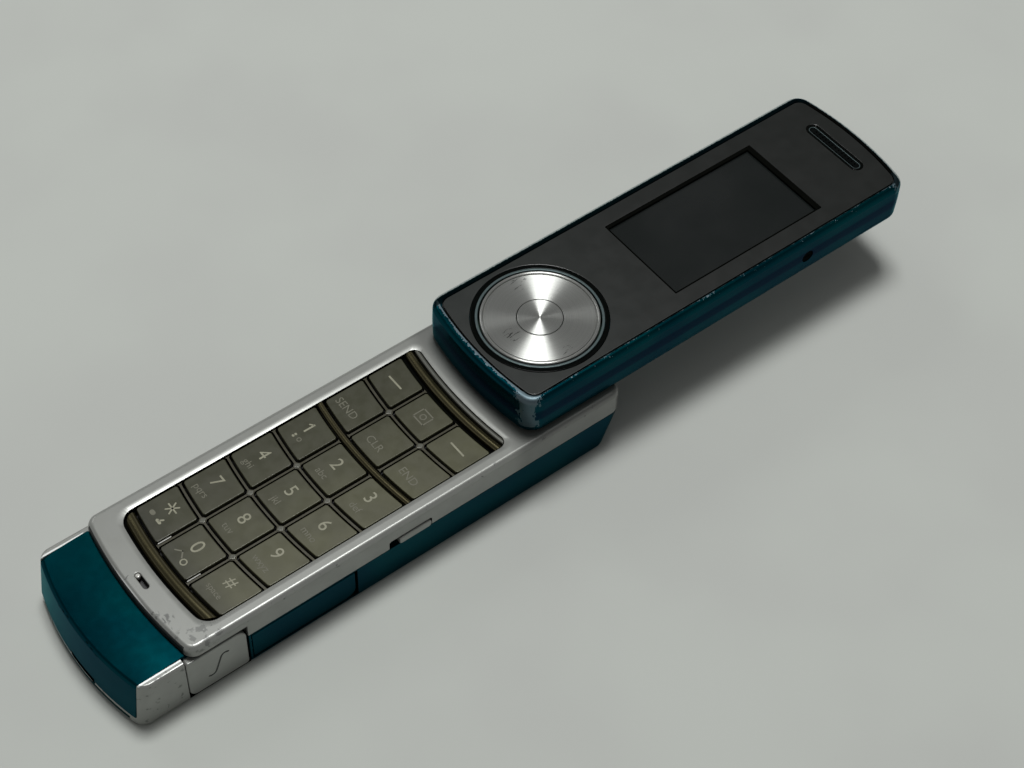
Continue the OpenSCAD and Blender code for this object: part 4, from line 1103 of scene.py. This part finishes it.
def stop_pocket():
    """Pocket in which the swivel's arm turns: half a ring round the shaft, and a little more at both ends."""
    spare, outer, inner = 10.6, 8.2, 5.0
    a = math.radians(spare)
    pen = Pen(outer * math.cos(a), -outer * math.sin(a), plate_floor - 0.2)
    pen.turn(0, 0, 180 + 2 * spare, 60)
    pen.to(-inner * math.cos(a), -inner * math.sin(a))
    pen.turn(0, 0, -180 - 2 * spare, 60)
    pen.to(outer * math.cos(a), -outer * math.sin(a))
    return raise_sheet(pen.sheet("pocket"), 3)


make_rear_case()
make_battery_cover()
make_chin()
make_bracket()
make_plate()


# ---- Keypad ----

KEY_ROWS = [
    ["key_star", "key_0", "key_hash"], ["key_7", "key_8", "key_9"], ["key_4", "key_5", "key_6"],
    ["key_1", "key_2", "key_3"], ["key_send", "key_clear", "key_end"],
    ["key_left_soft", "key_camera", "key_right_soft"]]


def key_places():
    """Near edge and far edge of each key at the middle of the bow, and its two sides."""
    found = {}
    for names in KEY_ROWS:
        for name in names:
            low, high = span(name)
            # The box's near edge is the bow's nearest point to the chin
            nearest = 0 if low.y * high.y < 0 else min(abs(low.y), abs(high.y))
            farthest = max(abs(low.y), abs(high.y))
            far = high.x - sag(farthest - 0.55) - (last_row_cut if names is KEY_ROWS[-1] else 0)
            found[name] = (low.x - sag(nearest), far, low.y, high.y)
    return found


key_edges = key_places()


def make_lattice():
    """Bronze lattice that fills the recess under and between the keys."""
    lattice = recess_plan(-0.1, plate_floor - 0.2, lattice_high.z - 0.15, "key_lattice")
    clear = (key_gap - rib_width) / 2
    for x0, x1, y0, y1 in key_edges.values():
        carve(lattice, bowed_cell(x0 - clear, x1 + clear, y0 - clear, y1 + clear, key_chamfer + clear / 2, 5, 15,
                                  steps=6))
    rows = [key_edges[names[1]] for names in KEY_ROWS]
    for x0, x1 in ((recess_near - 1, rows[0][0] - 0.15), (rows[3][1] + 0.15, rows[4][0] - 0.15),
                   (rows[5][1] + 0.15, recess_far + 2)):
        carve(lattice, bowed_cell(x0, x1, -14, 14, 0.2, lattice_high.z - 0.85, 15, steps=24))
    lip = recess_plan(0.7, plate_floor - 0.55, plate_floor - 0.05)
    carve(lip, recess_plan(-0.25, plate_floor - 2, plate_floor + 1))
    lattice = join("key_lattice", lattice, lip)
    lattice.data.materials.append(rib_olive)
    # Painted shade: the lattice's steep faces and its faces below the top are black
    paint_faces(lattice, gap_shade_black, lambda f: abs(f.normal.z) < 0.5 or middle(f).z < lattice_high.z - 0.3)
    hand_in(lattice, "base", "bronze_lattice", "keypad_frame")
    long, wide, tall = 0.62, 0.5, 0.2
    for x, y in lattice_crossings():
        pen = Pen(x - long, y, lattice_high.z - tall)
        pen.to(x, y - wide).to(x + long, y).to(x, y + wide).to(x - long, y)
        stud = raise_sheet(pen.sheet("lattice_stud"), tall)
        round_rim(stud, lattice_high.z, 0.06, 2)
        hand_in(stud, "base", "bronze_lattice", finish=stud_grey)


def lattice_crossings():
    """Where four keys meet."""
    found = []
    for row in (0, 1, 2, 4):
        for left, right in ((0, 1), (1, 2)):
            a, b = key_edges[KEY_ROWS[row][left]], key_edges[KEY_ROWS[row][right]]
            y = (a[2] + b[3]) / 2
            found.append((a[1] + key_gap / 2 + sag(y), y))
    return found


def make_bars():
    """Arched bronze bars across the keypad: one at each end and one between the key groups, and a thin strip in
    painted shade along the far wall of the opening.
    """
    rows = [key_edges[names[1]] for names in KEY_ROWS]
    top, bottom = plate_top - 0.22, lattice_high.z - 0.9
    bars = {
        "near_bar": (recess_near + 0.6, rows[0][0] - 0.36, 0.75),
        "middle_bar": (rows[3][1] + 0.42, rows[4][0] - 0.38, 0.55),
        "far_bar": (rows[5][1] + 0.95, recess_far - 1.1, 0.5),
        # A thin strip in painted shade, as the far wall of the opening looks in shade
        "far_wall_shade_bar": (recess_far - 0.82, recess_far - 0.15, 0.12)}
    for name, (x0, x1, arch) in bars.items():
        bar = arched_bar(name, x0, x1, bottom, top, arch)
        keep_inside(bar, recess_plan(-0.5 if name == "near_bar" else -0.15, bottom - 1, top + 1))
        hand_in(bar, "base", "bronze_lattice", finish=rim_shade if name == "far_wall_shade_bar" else bronze)
    for name in ("key_star", "key_0"):
        make_rib_tip(name)


def arched_bar(name, x0, x1, bottom, top, arch):
    """A bar with an arched top, swept along the bow of the key rows."""
    across = (x0 + x1) / 2
    radius = ((x1 - x0) ** 2 / 4 + arch * arch) / (2 * arch)
    swing = 2 * math.degrees(math.asin((x1 - x0) / 2 / radius))
    pen = Pen(x0, bottom).to(x1, bottom).to(x1, top - arch)
    pen.turn(across, top - radius, swing, 12).to(x0, bottom)
    return sweep(stand_up(pen.sheet(name)), across + row_bow, math.asin((recess_half + 0.6) / row_bow), 48)


def make_rib_tip(name):
    """The end of the rib beside a key of the first row, in a pale finish that paints a highlight on it."""
    x0, _, y0, _ = key_edges[name]
    y = y0 - 0.12
    x = x0 + sag(y)
    tip = side_plan(x + 0.1, x + 2.5, lattice_high.z - 0.2, lattice_high.z - 0.02, (0.03, 0.03, 0.12, 0.05),
                    y - 0.17, y - 0.03, "rib_tip")
    shift(tip, lambda v: v.co.z > lattice_high.z - 0.1 and v.co.y < y - 0.1, (0, 0, -0.06))
    hand_in(tip, "base", "bronze_lattice", finish=pale_glint)


LETTERS = {
    "key_2": "abc", "key_3": "def", "key_4": "ghi", "key_5": "jkl", "key_6": "mno", "key_7": "pqrs",
    "key_8": "tuv", "key_9": "wxyz"}
WORDS = {"key_send": "SEND", "key_clear": "CLR", "key_end": "END"}


def print_text(words, x, y, z, size, finish):
    """Raised print that reads toward the right side of the base."""
    bare()
    bpy.ops.object.text_add(location=(0, 0, 0))
    text = bpy.context.object
    text.data.body = words
    text.data.size = size
    text.data.align_x, text.data.align_y = "CENTER", "CENTER"
    text.data.extrude = print_rise
    text.data.resolution_u = 4
    bpy.ops.object.convert(target="MESH")
    turn_out(set_down(text, (x, y, z), (0, 0, -math.pi / 2)))
    text.data.materials.append(finish)
    return text


def dash(x, y, z, length, width, finish, turn=0.0):
    """A short raised stroke, along Y unless it is turned."""
    stroke = slot_plan(0, length, width, -print_rise, print_rise)
    set_down(stroke, (x, y, z), (0, 0, math.radians(turn)))
    stroke.data.materials.append(finish)
    return stroke


def ring(x, y, z, radius, width, finish):
    outer = upright(x, y, radius, z - print_rise, z + print_rise, 32)
    carve(outer, upright(x, y, radius - width, z - 1, z + 1, 32))
    outer.data.materials.append(finish)
    return outer


def key_print(name, x, y, z):
    """Digit, letters or sign of one key, as thin raised print round the key's middle."""
    def words(text, dx, dy, size, finish=legend):
        return print_text(text, x + dx, y + dy, z, size, finish)

    def stroke(dx, dy, length, width, finish=legend, turn=0.0):
        return dash(x + dx, y + dy, z, length, width, finish, turn)

    def circle(dx, dy, radius, width, finish=legend):
        return ring(x + dx, y + dy, z, radius, width, finish)

    faint = legend_faint
    if name in WORDS:
        return [words(WORDS[name], -1.3, 0.3, 2.0, faint)]
    if name in ("key_left_soft", "key_right_soft"):
        return [stroke(0, 0, 3.4, 0.32)]
    if name == "key_camera":
        return [stroke(1.1, 0, 2.6, 0.22, faint), stroke(-1.1, 0, 2.6, 0.22, faint),
                stroke(0, 1.25, 2.3, 0.22, faint, 90), stroke(0, -1.25, 2.3, 0.22, faint, 90),
                circle(-0.05, 0, 0.6, 0.2, faint)]
    if name == "key_star":
        return [*[stroke(1.3, 0.3, 2.4, 0.26, turn=a) for a in (0, 60, 120)],
                stroke(-1.5, 1.5, 1.1, 0.8, faint), stroke(-1.7, -0.5, 1.2, 0.5),
                stroke(-1.2, -0.6, 0.9, 0.3, turn=60)]
    if name == "key_hash":
        return [words("#", 1.1, 0.3, 2.9), words("space", -1.7, 0.6, 1.5, faint)]
    if name == "key_0":
        return [words("0", 0.95, 0.35, 3.5), stroke(-1.5, 1.5, 1.5, 0.24, faint, 40),
                stroke(-1.5, 0.6, 1.5, 0.24, faint, -40), circle(-2.1, -0.7, 0.62, 0.22)]
    digit = words(name[-1], 0.85, 0.55, 3.2)
    if name == "key_1":
        return [digit, stroke(1.6, 0.95, 0.75, 0.24, turn=40), stroke(-1.4, 0.9, 0.5, 0.42),
                stroke(-1.9, 0.9, 0.5, 0.4), circle(-1.6, -0.3, 0.42, 0.16, faint)]
    return [digit, words(LETTERS[name], -2.0, 0.55, 1.75, faint)]


def make_keys():
    low, high = span("key_0")
    for names in KEY_ROWS:
        for name in names:
            x0, x1, y0, y1 = key_edges[name]
            key = bowed_cell(x0, x1, y0, y1, key_chamfer, low.z, high.z, name + "_cap")
            round_rim(key, high.z, 0.14, 4)
            polish(key)
            y = (y0 + y1) / 2
            x = (x0 + x1) / 2 + sag(y)
            key.data.materials.append(olive)
            prints = key_print(name, x, y, high.z)
            key = join(name + "_cap", key, *prints)
            hand_in(key, name, "key_olive", name, smooth=False)


make_lattice()
make_bars()
make_keys()


# ---- Doors, slider and rocker ----

def ear_heights(low, high):
    """Where a door's two hinge ears begin. Each is one millimetre tall."""
    tall = high.z - low.z
    return low.z + 0.22 * tall, low.z + 0.78 * tall - 1


def hinge_ears(name, node):
    """Two ears and a pin that carry a door."""
    low, high = span(node)
    x, y = low.x + hinge_inset, -half + hinge_inset
    parts = [upright(x, y, 0.22, low.z + 0.3, high.z - 1.0, 24)]
    for z in ear_heights(low, high):
        ear = upright(x, y, 0.4, z, z + 1, 32)
        parts += [ear, block((x - 0.3, y, z), (x + 0.3, door_back + 0.02, z + 1))]
    ears = weld(parts[0], *parts[1:])
    return join(name, ears)


def make_door(name, node, corners):
    """A door plate with a rounded outline, a soft outer edge and a hinge knuckle."""
    low, high = span(node)
    drop = 0.55 if node == "headset_door" else 0.16
    door = side_plan(low.x + 0.06, high.x - 0.2, low.z + 0.05, high.z - drop, corners, low.y, high.y, name)
    round_edges(door, 0.24, 4, on_plane("y", low.y))
    for z in ear_heights(low, high):
        carve(door, block((low.x - 1, low.y + 0.22, z - 0.1), (low.x + 1.4, high.y + 1, z + 1.1)))
    # Round the back of the knuckle side so that it can turn
    round_edges(door, 0.5, 5, lambda e: abs(middle(e).x - low.x - 0.06) < 0.01 and abs(middle(e).y - high.y) < 0.01
                and abs((e.verts[0].co - e.verts[1].co).z) > 0.5)
    return door


def make_headset_door():
    low, high = span("headset_door")
    door = make_door("headset_cover", "headset_door", (1.5, 0.5, 1.9, 0.5))
    # Curved mark pressed into the door
    x, z = (low.x + high.x) / 2, (low.z + high.z) / 2
    pen = Pen(x - 1.9, z - 1.9)
    pen.turn(x - 1.3, z - 1.35, 120, 8)
    pen.to(x + 0.5, z + 1.2)
    pen.turn(x + 1.25, z + 1.0, -130, 8)
    mark = stand_up(pen.line("mark"))
    hold(mark)
    bpy.ops.object.convert(target="CURVE")
    curve = bpy.context.object
    curve.data.bevel_depth = 0.2
    curve.data.bevel_resolution = 2
    curve.data.use_fill_caps = True
    bpy.ops.object.convert(target="MESH")
    groove = set_down(bpy.context.object, place=(0, low.y - 0.05, 0))
    carve(door, turn_out(groove))
    door.data.materials.append(silver_clean)
    at_mark = within((x - 3, x + 3), (low.y + 0.005, low.y + 0.2), (z - 3, z + 3))
    paint_faces(door, mark_shade, lambda f: at_mark(f) and f.calc_area() < 0.5)
    hand_in(door, "headset_door", "silver_paint", "headset_door")
    hand_in(hinge_ears("headset_hinge_ears", "headset_door"), "base", "silver_paint", finish=steel)


def make_port_door():
    door = make_door("port_cover", "port_door", (0.4, 1.8, 0.5, 0.4))
    hand_in(door, "port_door", "teal_metal", "port_door", finish=teal)
    hand_in(hinge_ears("port_hinge_ears", "port_door"), "base", "teal_metal", finish=steel)


def make_slider():
    """Silver knob in the seam, with a flange behind the wall."""
    low, high = span("hold_slider")
    knob = side_plan(low.x + 0.7, high.x - 0.65, low.z, high.z - 0.12, (0.35, 0.6, 0.6, 0.35), low.y, high.y,
                     "hold_knob")
    round_edges(knob, 0.22, 4, on_plane("y", low.y))
    flange = block((low.x, -half + wall + 0.15, low.z + 0.05), (high.x, high.y, high.z - 0.05))
    round_edges(flange, 0.1, 2, lambda e: True)
    weld(knob, flange)
    hand_in(knob, "hold_slider", "silver_paint", "hold_slider", finish=silver_clean)


def make_rocker():
    """Silver volume key on the left side with a raised ridge at each end."""
    low, high = span("volume_rocker")
    rocker = side_plan(low.x, high.x, low.z, high.z, (1.25, 1.25, 1.25, 1.25), high.y - 1.4, high.y - 0.12,
                       "volume_key")
    round_edges(rocker, 0.35, 4, on_plane("y", high.y - 0.12))
    for x in (low.x + 2.2, high.x - 2.2):
        ridge = rod((x, high.y - 0.2, (low.z + high.z) / 2), 0.2, 1.3, "Z", 16)
        weld(rocker, ridge)
    lug = upright((low.x + high.x) / 2, high.y - 1.83, 0.8, low.z + 0.1, high.z - 0.1, 32)
    weld(rocker, lug)
    hand_in(rocker, "volume_rocker", "silver_paint", "volume_rocker", finish=silver_clean)


make_headset_door()
make_port_door()
make_slider()
make_rocker()


# ---- Lid ----

def lid_form(z, z1, inset=0.0, name="lid"):
    return bowed_plan(lid_low.x + inset, lid_high.x - inset, lid_half - inset, lid_bow - inset, lid_bow - inset,
                      max(lid_corner - inset, 0.4), max(lid_corner - inset, 0.4), z, z1, name)


def lid_body():
    """The whole lid outside: creased at mid height, drawn in a little toward both faces."""
    body = lid_form(lid_bottom, crease)
    pick(body, "faces", lambda f: f.normal.z > 0.9)
    bpy.ops.mesh.extrude_region_move(TRANSFORM_OT_translate={"value": (0, 0, lid_top - crease)})
    bare()
    for z, draw_in in ((lid_top, 0.06), (lid_bottom, 0.1)):
        grow_outline(body, lambda v: abs(v.co.z - z) < 0.01, -draw_in, lid_low.x, lid_high.x, lid_half, z)
    round_rim(body, lid_top, 1.0, 8)
    round_rim(body, lid_bottom, 0.8, 6)
    at_crease = at_level(crease)
    pick(body, "edges", lambda e: at_crease(e) and e.is_manifold)
    bevel_picked(0.5, 3)
    bare()
    return turn_out(body)


def make_lid():
    body = lid_body()
    under = copy_of(body, "lid_underside")
    frame_z = lid_low.z
    slice_off(body, (0, 0, frame_z), (0, 0, -1))
    slice_off(under, (0, 0, under_high.z), (0, 0, 1))
    plug_low, plug_high = span("side_plug")
    plug_z = (plug_low.z + plug_high.z) / 2
    plug_x = (plug_low.x + plug_high.x) / 2
    carve(body, seat_slope(0.28), panel_outline(0, panel_floor, lid_top + 1),
          lid_form(frame_z - 1, panel_floor - deck, wall),
          upright(wheel_x, 0, wheel_radius + 0.3, panel_floor - 2, lid_top + 1, 128),
          block((window_low.x, -window_high.y, panel_floor - 2), (window_high.x, window_high.y, lid_top)),
          slot_plan(ear_x, ear_long + 0.1, ear_wide + 0.1, panel_floor - 2, lid_top),
          rod((plug_x, -lid_half, plug_z), 1.2, 3, "Y", 48))
    body.data.materials.append(teal_worn)
    # Painted shade on the lip's slope round the panel's seat, which widens the dark gap round the panel
    paint_faces(body, gap_shade_black, lambda f: middle(f).z > panel_floor + 0.05
                and all(inside_seat(v.co) for v in f.verts))
    hand_in(body, "lid", "teal_metal", "lid_frame")
    body.name = "lid_shell"

    camera_low, camera_high = span("camera_window")
    camera_x = (camera_low.x + camera_high.x) / 2
    screw_low, screw_high = span("lid_screws")
    screws = [(x, s * (screw_high.y - head_radius))
              for x in (screw_low.x + head_radius, screw_high.x - head_radius) for s in (-1, 1)]
    carve(under, upright(0, 0, shaft_opening, lid_bottom - 1, under_high.z + 1, 96),
          upright(camera_x, 0, lens_seat, lid_bottom - 1, camera_high.z + 0.05, 64),
          upright(camera_x, 0, lens_hole, lid_bottom - 1, under_high.z + 1, 64),
          *[upright(x, y, counterbore, lid_bottom - 1, lid_bottom + 0.6, 32) for x, y in screws])
    round_rim(under, lid_bottom, 0.12, 2,
              lambda e: any(math.hypot(middle(e).x - x, middle(e).y - y) < r
                            for x, y, r in [(camera_x, 0, lens_seat + 0.2), *[(x, y, 1.3) for x, y in screws]]))
    hand_in(under, "lid", "teal_metal", "lid_rear_cover", finish=teal)

    glass_pane = upright(camera_x, 0, lens_seat - 0.1, camera_low.z, camera_high.z, 64, "camera_pane")
    round_rim(glass_pane, camera_low.z, 0.15, 3)
    hand_in(glass_pane, "lid", "display_glass", "camera_window", finish=glass)
    iris = upright(camera_x, 0, 1.6, camera_low.z - 0.02, camera_low.z + 0.1, 48, "camera_ring")
    carve(iris, upright(camera_x, 0, 1.15, 0, 30, 48))
    hand_in(iris, "lid", "ring_chrome", finish=chrome)

    plug = rod((plug_x, (plug_low.y + plug_high.y) / 2, plug_z), 1.13, plug_high.y - plug_low.y, "Y", 48,
               "side_stopper")
    carve(plug, block((plug_x - 0.6, -20, plug_z - 0.12), (plug_x + 0.6, plug_low.y + 0.25, plug_z + 0.12)))
    round_edges(plug, 0.12, 3, on_plane("y", plug_low.y))
    hand_in(plug, "lid", "black_plastic", "side_plug", finish=plug_black)


def panel_outline(inset, z, z1, name="seat"):
    """The plan of the panel's seat in the lid."""
    bow = lid_bow - 1.3 - inset
    return bowed_plan(seat_near + inset, seat_far - inset, seat_side - inset, bow, bow, 1.9 - inset, 1.9 - inset,
                      z, z1, name)


def seat_slope(width):
    """A shallow cutter that slopes the lip back from the panel's seat."""
    cutter = panel_outline(0.05, lid_top - width - 0.05, lid_top + 0.02, "slope")
    return grow_outline(cutter, lambda v: v.co.z > lid_top, width + 0.07, seat_near, seat_far, seat_side, lid_top)


def inside_seat(p, spare=0.31, corner=1.9):
    """Is a point within the seat's plan, grown by the width of its slope?"""
    dip = sag(p.y, lid_bow)
    beyond_x = max(seat_near + dip - p.x, p.x - seat_far + dip)
    beyond_y = abs(p.y) - seat_side
    if min(beyond_x, beyond_y) > -corner:
        return math.hypot(beyond_x + corner, beyond_y + corner) < corner + spare
    return max(beyond_x, beyond_y) < spare


def make_panel():
    """Dark face panel with its openings, and the dark gap round it."""
    panel = panel_outline(0.18, panel_floor, panel_high.z - 0.1, "face_plate")
    carve(panel, upright(wheel_x, 0, ring_radius + 0.05, panel_floor - 1, lid_top + 1, 160),
          block((window_low.x - 0.05, -window_high.y - 0.05, panel_floor - 1),
                (window_high.x + 0.05, window_high.y + 0.05, lid_top + 1)),
          slot_plan(ear_x, ear_long + 0.1, ear_wide + 0.1, panel_floor - 1, lid_top + 1))
    round_rim(panel, panel_high.z - 0.1, 0.08, 2)
    hand_in(panel, "lid", "panel_gloss", "face_panel", finish=panel_gloss)
    gasket = panel_outline(0.02, panel_floor - 0.02, panel_floor + 0.35, "panel_gasket")
    carve(gasket, panel_outline(0.16, panel_floor - 1, panel_floor + 1))
    hand_in(gasket, "lid", "dark_rubber", finish=rubber)

    # Display glass, set a little below the panel in a black well whose wider border on the left side and at the far
    # end is painted shade
    pane_top = window_high.z - pane_depth
    pane = block((window_low.x, -window_high.y, window_low.z), (window_high.x, window_high.y, pane_top),
                 "display_pane")
    round_rim(pane, pane_top, 0.05, 2)
    hand_in(pane, "lid", "display_glass", "display_window", finish=glass)
    well = block((window_low.x, -window_high.y, pane_top - 0.05),
                 (window_high.x, window_high.y, window_high.z - 0.06), "display_shade_border")
    carve(well, block((window_low.x + 0.15, -window_high.y + 0.15, 0),
                      (window_high.x - shade_far, window_high.y - shade_side, 30)))
    hand_in(well, "lid", "black_plastic", finish=gap_shade_black)


def make_ear_slot():
    """Earpiece: a black cup with a bright inner rim and a perforated floor."""
    x, low, high = ear_x, ear_low, ear_high
    cup = slot_plan(x, ear_long, ear_wide, low.z, high.z, "ear_cup")
    carve(cup, slot_plan(x, ear_long - 0.9, ear_wide - 0.9, panel_floor + 0.2, high.z + 1))
    round_rim(cup, high.z, 0.12, 3)
    hand_in(cup, "lid", "black_plastic", "earpiece_grille", finish=ring_black)
    rim = slot_plan(x, ear_long - 0.9, ear_wide - 0.9, panel_floor + 0.3, high.z - 0.12, "ear_rim")
    carve(rim, slot_plan(x, ear_long - 1.2, ear_wide - 1.2, panel_floor - 1, high.z + 1))
    round_rim(rim, high.z - 0.12, 0.05, 2)
    hand_in(rim, "lid", "ring_chrome", finish=ring_teal)
    screen = slot_plan(x, ear_long - 1.2, ear_wide - 1.2, panel_floor + 0.2, panel_floor + 0.4, "ear_screen")
    carve(screen, *[upright(x + dx, -5.2 + 0.8 * i + (0.4 if dx else 0), 0.16, 0, 30, 8)
                    for dx in (-0.32, 0.32) for i in range(13)])
    hand_in(screen, "lid", "black_plastic", finish=plug_black)


def make_wheel():
    """Rings in the panel, the spun wheel and its button."""
    top, floor = ring_high.z, ring_low.z
    r = ring_radius - 0.03

    def band(name, finish, r0, r1, z1, edge, *nodes):
        pen = Pen(r0, floor).to(r1, floor).to(r1, z1 - edge)
        pen.turn(r1 - edge, z1 - edge, 90, 5).to(r0 + edge, z1).turn(r0 + edge, z1 - edge, 90, 5).to(r0, floor)
        made = lathe(pen.sheet(name), wheel_x, 0, 160, name)
        hand_in(made, "lid", "ring_chrome", *nodes, finish=finish)

    band("wheel_ring_dark", ring_black, dark_ring_inner, r, top - 0.2, 0.12, "wheel_trim_ring")
    band("wheel_ring_teal", ring_teal, wheel_radius + 0.2, teal_ring_outer, top - 0.05, 0.12)

    inner, outer, bead = button_radius + 0.13, wheel_radius - 0.08, 0.24
    face, rim = wheel_high.z - 0.16, wheel_radius - 0.74
    pen = Pen(inner, panel_floor + 0.15).to(outer, panel_floor + 0.15).to(outer, wheel_high.z - bead)
    pen.turn(outer - bead, wheel_high.z - bead, 180, 12)
    pen.to(rim + 0.14, face - 0.2).to(rim, face - 0.2).to(rim, face - 0.06).turn(rim - 0.06, face - 0.06, 90, 3)
    pen.to(inner + 0.08, face).turn(inner + 0.08, face - 0.08, 90, 3)
    pen.to(inner, panel_floor + 0.15)
    disc = lathe(pen.sheet("wheel_disc"), wheel_x, 0, 192, "wheel_disc")
    hand_in(disc, "scroll_wheel", "spun_metal", "scroll_wheel", finish=spun)

    z0, z1 = button_low.z, button_high.z
    pen = Pen(0.02, z0).to(button_radius - 0.1, z0).to(button_radius - 0.1, z1 - 0.5)
    pen.to(button_radius, z1 - 0.45).to(button_radius, z1 - 0.12)
    pen.turn(button_radius - 0.12, z1 - 0.12, 90, 4)
    pen.to(0.02, z1 - 0.05).to(0.02, z0)
    button = lathe(pen.sheet("wheel_button"), wheel_x, 0, 128, "wheel_button")
    hand_in(button, "centre_button", "spun_metal", "centre_button", finish=spun)


make_lid()
make_panel()
make_ear_slot()
make_wheel()


# ---- Screws ----

def make_screws(node, name, body):
    """Cross-head screws."""
    low, high = span(node)
    heads = []
    for x in (low.x + head_radius, high.x - head_radius):
        for s in (-1, 1):
            y = s * (high.y - head_radius)
            z = low.z if node == "lid_screws" or x > 0 else cover_bed
            head = upright(x, y, head_radius, z, z + 0.5, 40, name)
            round_rim(head, z, 0.14, 3)
            carve(head, block((x - 0.6, y - 0.13, z - 1), (x + 0.6, y + 0.13, z + 0.3)),
                  block((x - 0.13, y - 0.6, z - 1), (x + 0.13, y + 0.6, z + 0.3)))
            heads += [head, upright(x, y, 0.5, z + 0.45, high.z - 0.05, 24)]
    hand_in(join(name, *heads), body, "bright_steel", node, finish=steel)


make_screws("lid_screws", "lid_cover_screws", "lid")
make_screws("case_screws", "base_screws", "base")


# ---- Finishes of the inner parts ----

INNER_FINISHES = {
    "keypad_mat": rubber, "key_board": board_green, "main_board": board_green, "shield_cans": steel,
    "battery": black_plastic, "headset_jack": black_plastic, "charge_connector": steel,
    "microphone": black_plastic, "loudspeaker": black_plastic, "vibration_motor": steel,
    "antenna": pale_plastic, "swivel_base_plate": steel, "side_switches": steel, "display_module": gap_shade_black,
    "lid_board": board_green, "earpiece_speaker": black_plastic, "swivel_rotor": steel, "swivel_clip": steel,
    "camera_module": black_plastic, "flex_cable": amber}
for node, finish in INNER_FINISHES.items():
    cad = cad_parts[node]
    cad.data.materials.clear()
    cad.data.materials.append(finish)


# ---- Floor, camera and light ----

def make_floor():
    bare()
    bpy.ops.mesh.primitive_plane_add(size=4, location=(0, 0, -0.00002))
    floor = bpy.context.object
    floor.name = "floor"
    f = Finish("pale_floor", rgb(184, 188, 182), roughness=0.75, specular_ior_level=0.2)
    clouds = f.ease(f.noise(0.02, 3.0), 0.35, 0.65)
    f.set("Base Color", f.mix(clouds, rgb(186, 190, 184), rgb(182, 185, 180)))
    floor.data.materials.append(f.material)


def make_camera():
    bpy.ops.object.camera_add(
        location=(-0.1353482, -0.1612734, 0.2714422),
        rotation=[math.radians(a) for a in (38.3957, -1.5934, -37.7884)])
    camera = bpy.context.object
    camera.data.sensor_width = 36
    camera.data.lens = 72.3505
    camera.data.clip_start = 0.01
    bpy.context.scene.camera = camera


def lamp(name, place, size, power):
    """A soft square light that faces the swivel."""
    bare()
    bpy.ops.object.light_add(type="AREA", location=place)
    light = bpy.context.object
    light.name = name
    light.data.size = size
    light.data.energy = power
    light.rotation_euler = (-Vector(place)).to_track_quat("-Z", "Y").to_euler()


def make_sky():
    """Grey surroundings: bright at the horizon and straight above, dim between."""
    world = bpy.data.worlds.new("studio")
    bpy.context.scene.world = world
    world.use_nodes = True
    tree = world.node_tree
    background = tree.nodes["Background"]
    direction = tree.nodes.new("ShaderNodeTexCoord")
    split = tree.nodes.new("ShaderNodeSeparateXYZ")
    ramp = tree.nodes.new("ShaderNodeValToRGB")
    tree.links.new(direction.outputs["Generated"], split.inputs[0])
    tree.links.new(split.outputs["Z"], ramp.inputs["Fac"])
    tree.links.new(ramp.outputs["Color"], background.inputs["Color"])
    stops = ramp.color_ramp.elements
    for height, level in ((0.0, 0.42), (1.0, 0.45), (0.3, 0.34), (0.6, 0.08), (0.84, 0.05)):
        stop = stops[int(height)] if height in (0.0, 1.0) else stops.new(height)
        stop.color = (level, level, level, 1)
    background.inputs["Strength"].default_value = 1.0


make_floor()
make_camera()
lamp("ceiling_light", (0.11, 0.145, 0.98), size=0.26, power=7.2)
lamp("side_light", (-0.05, 0.76, 0.65), size=0.3, power=0.6)
make_sky()
bpy.context.scene.view_settings.view_transform = "Standard"
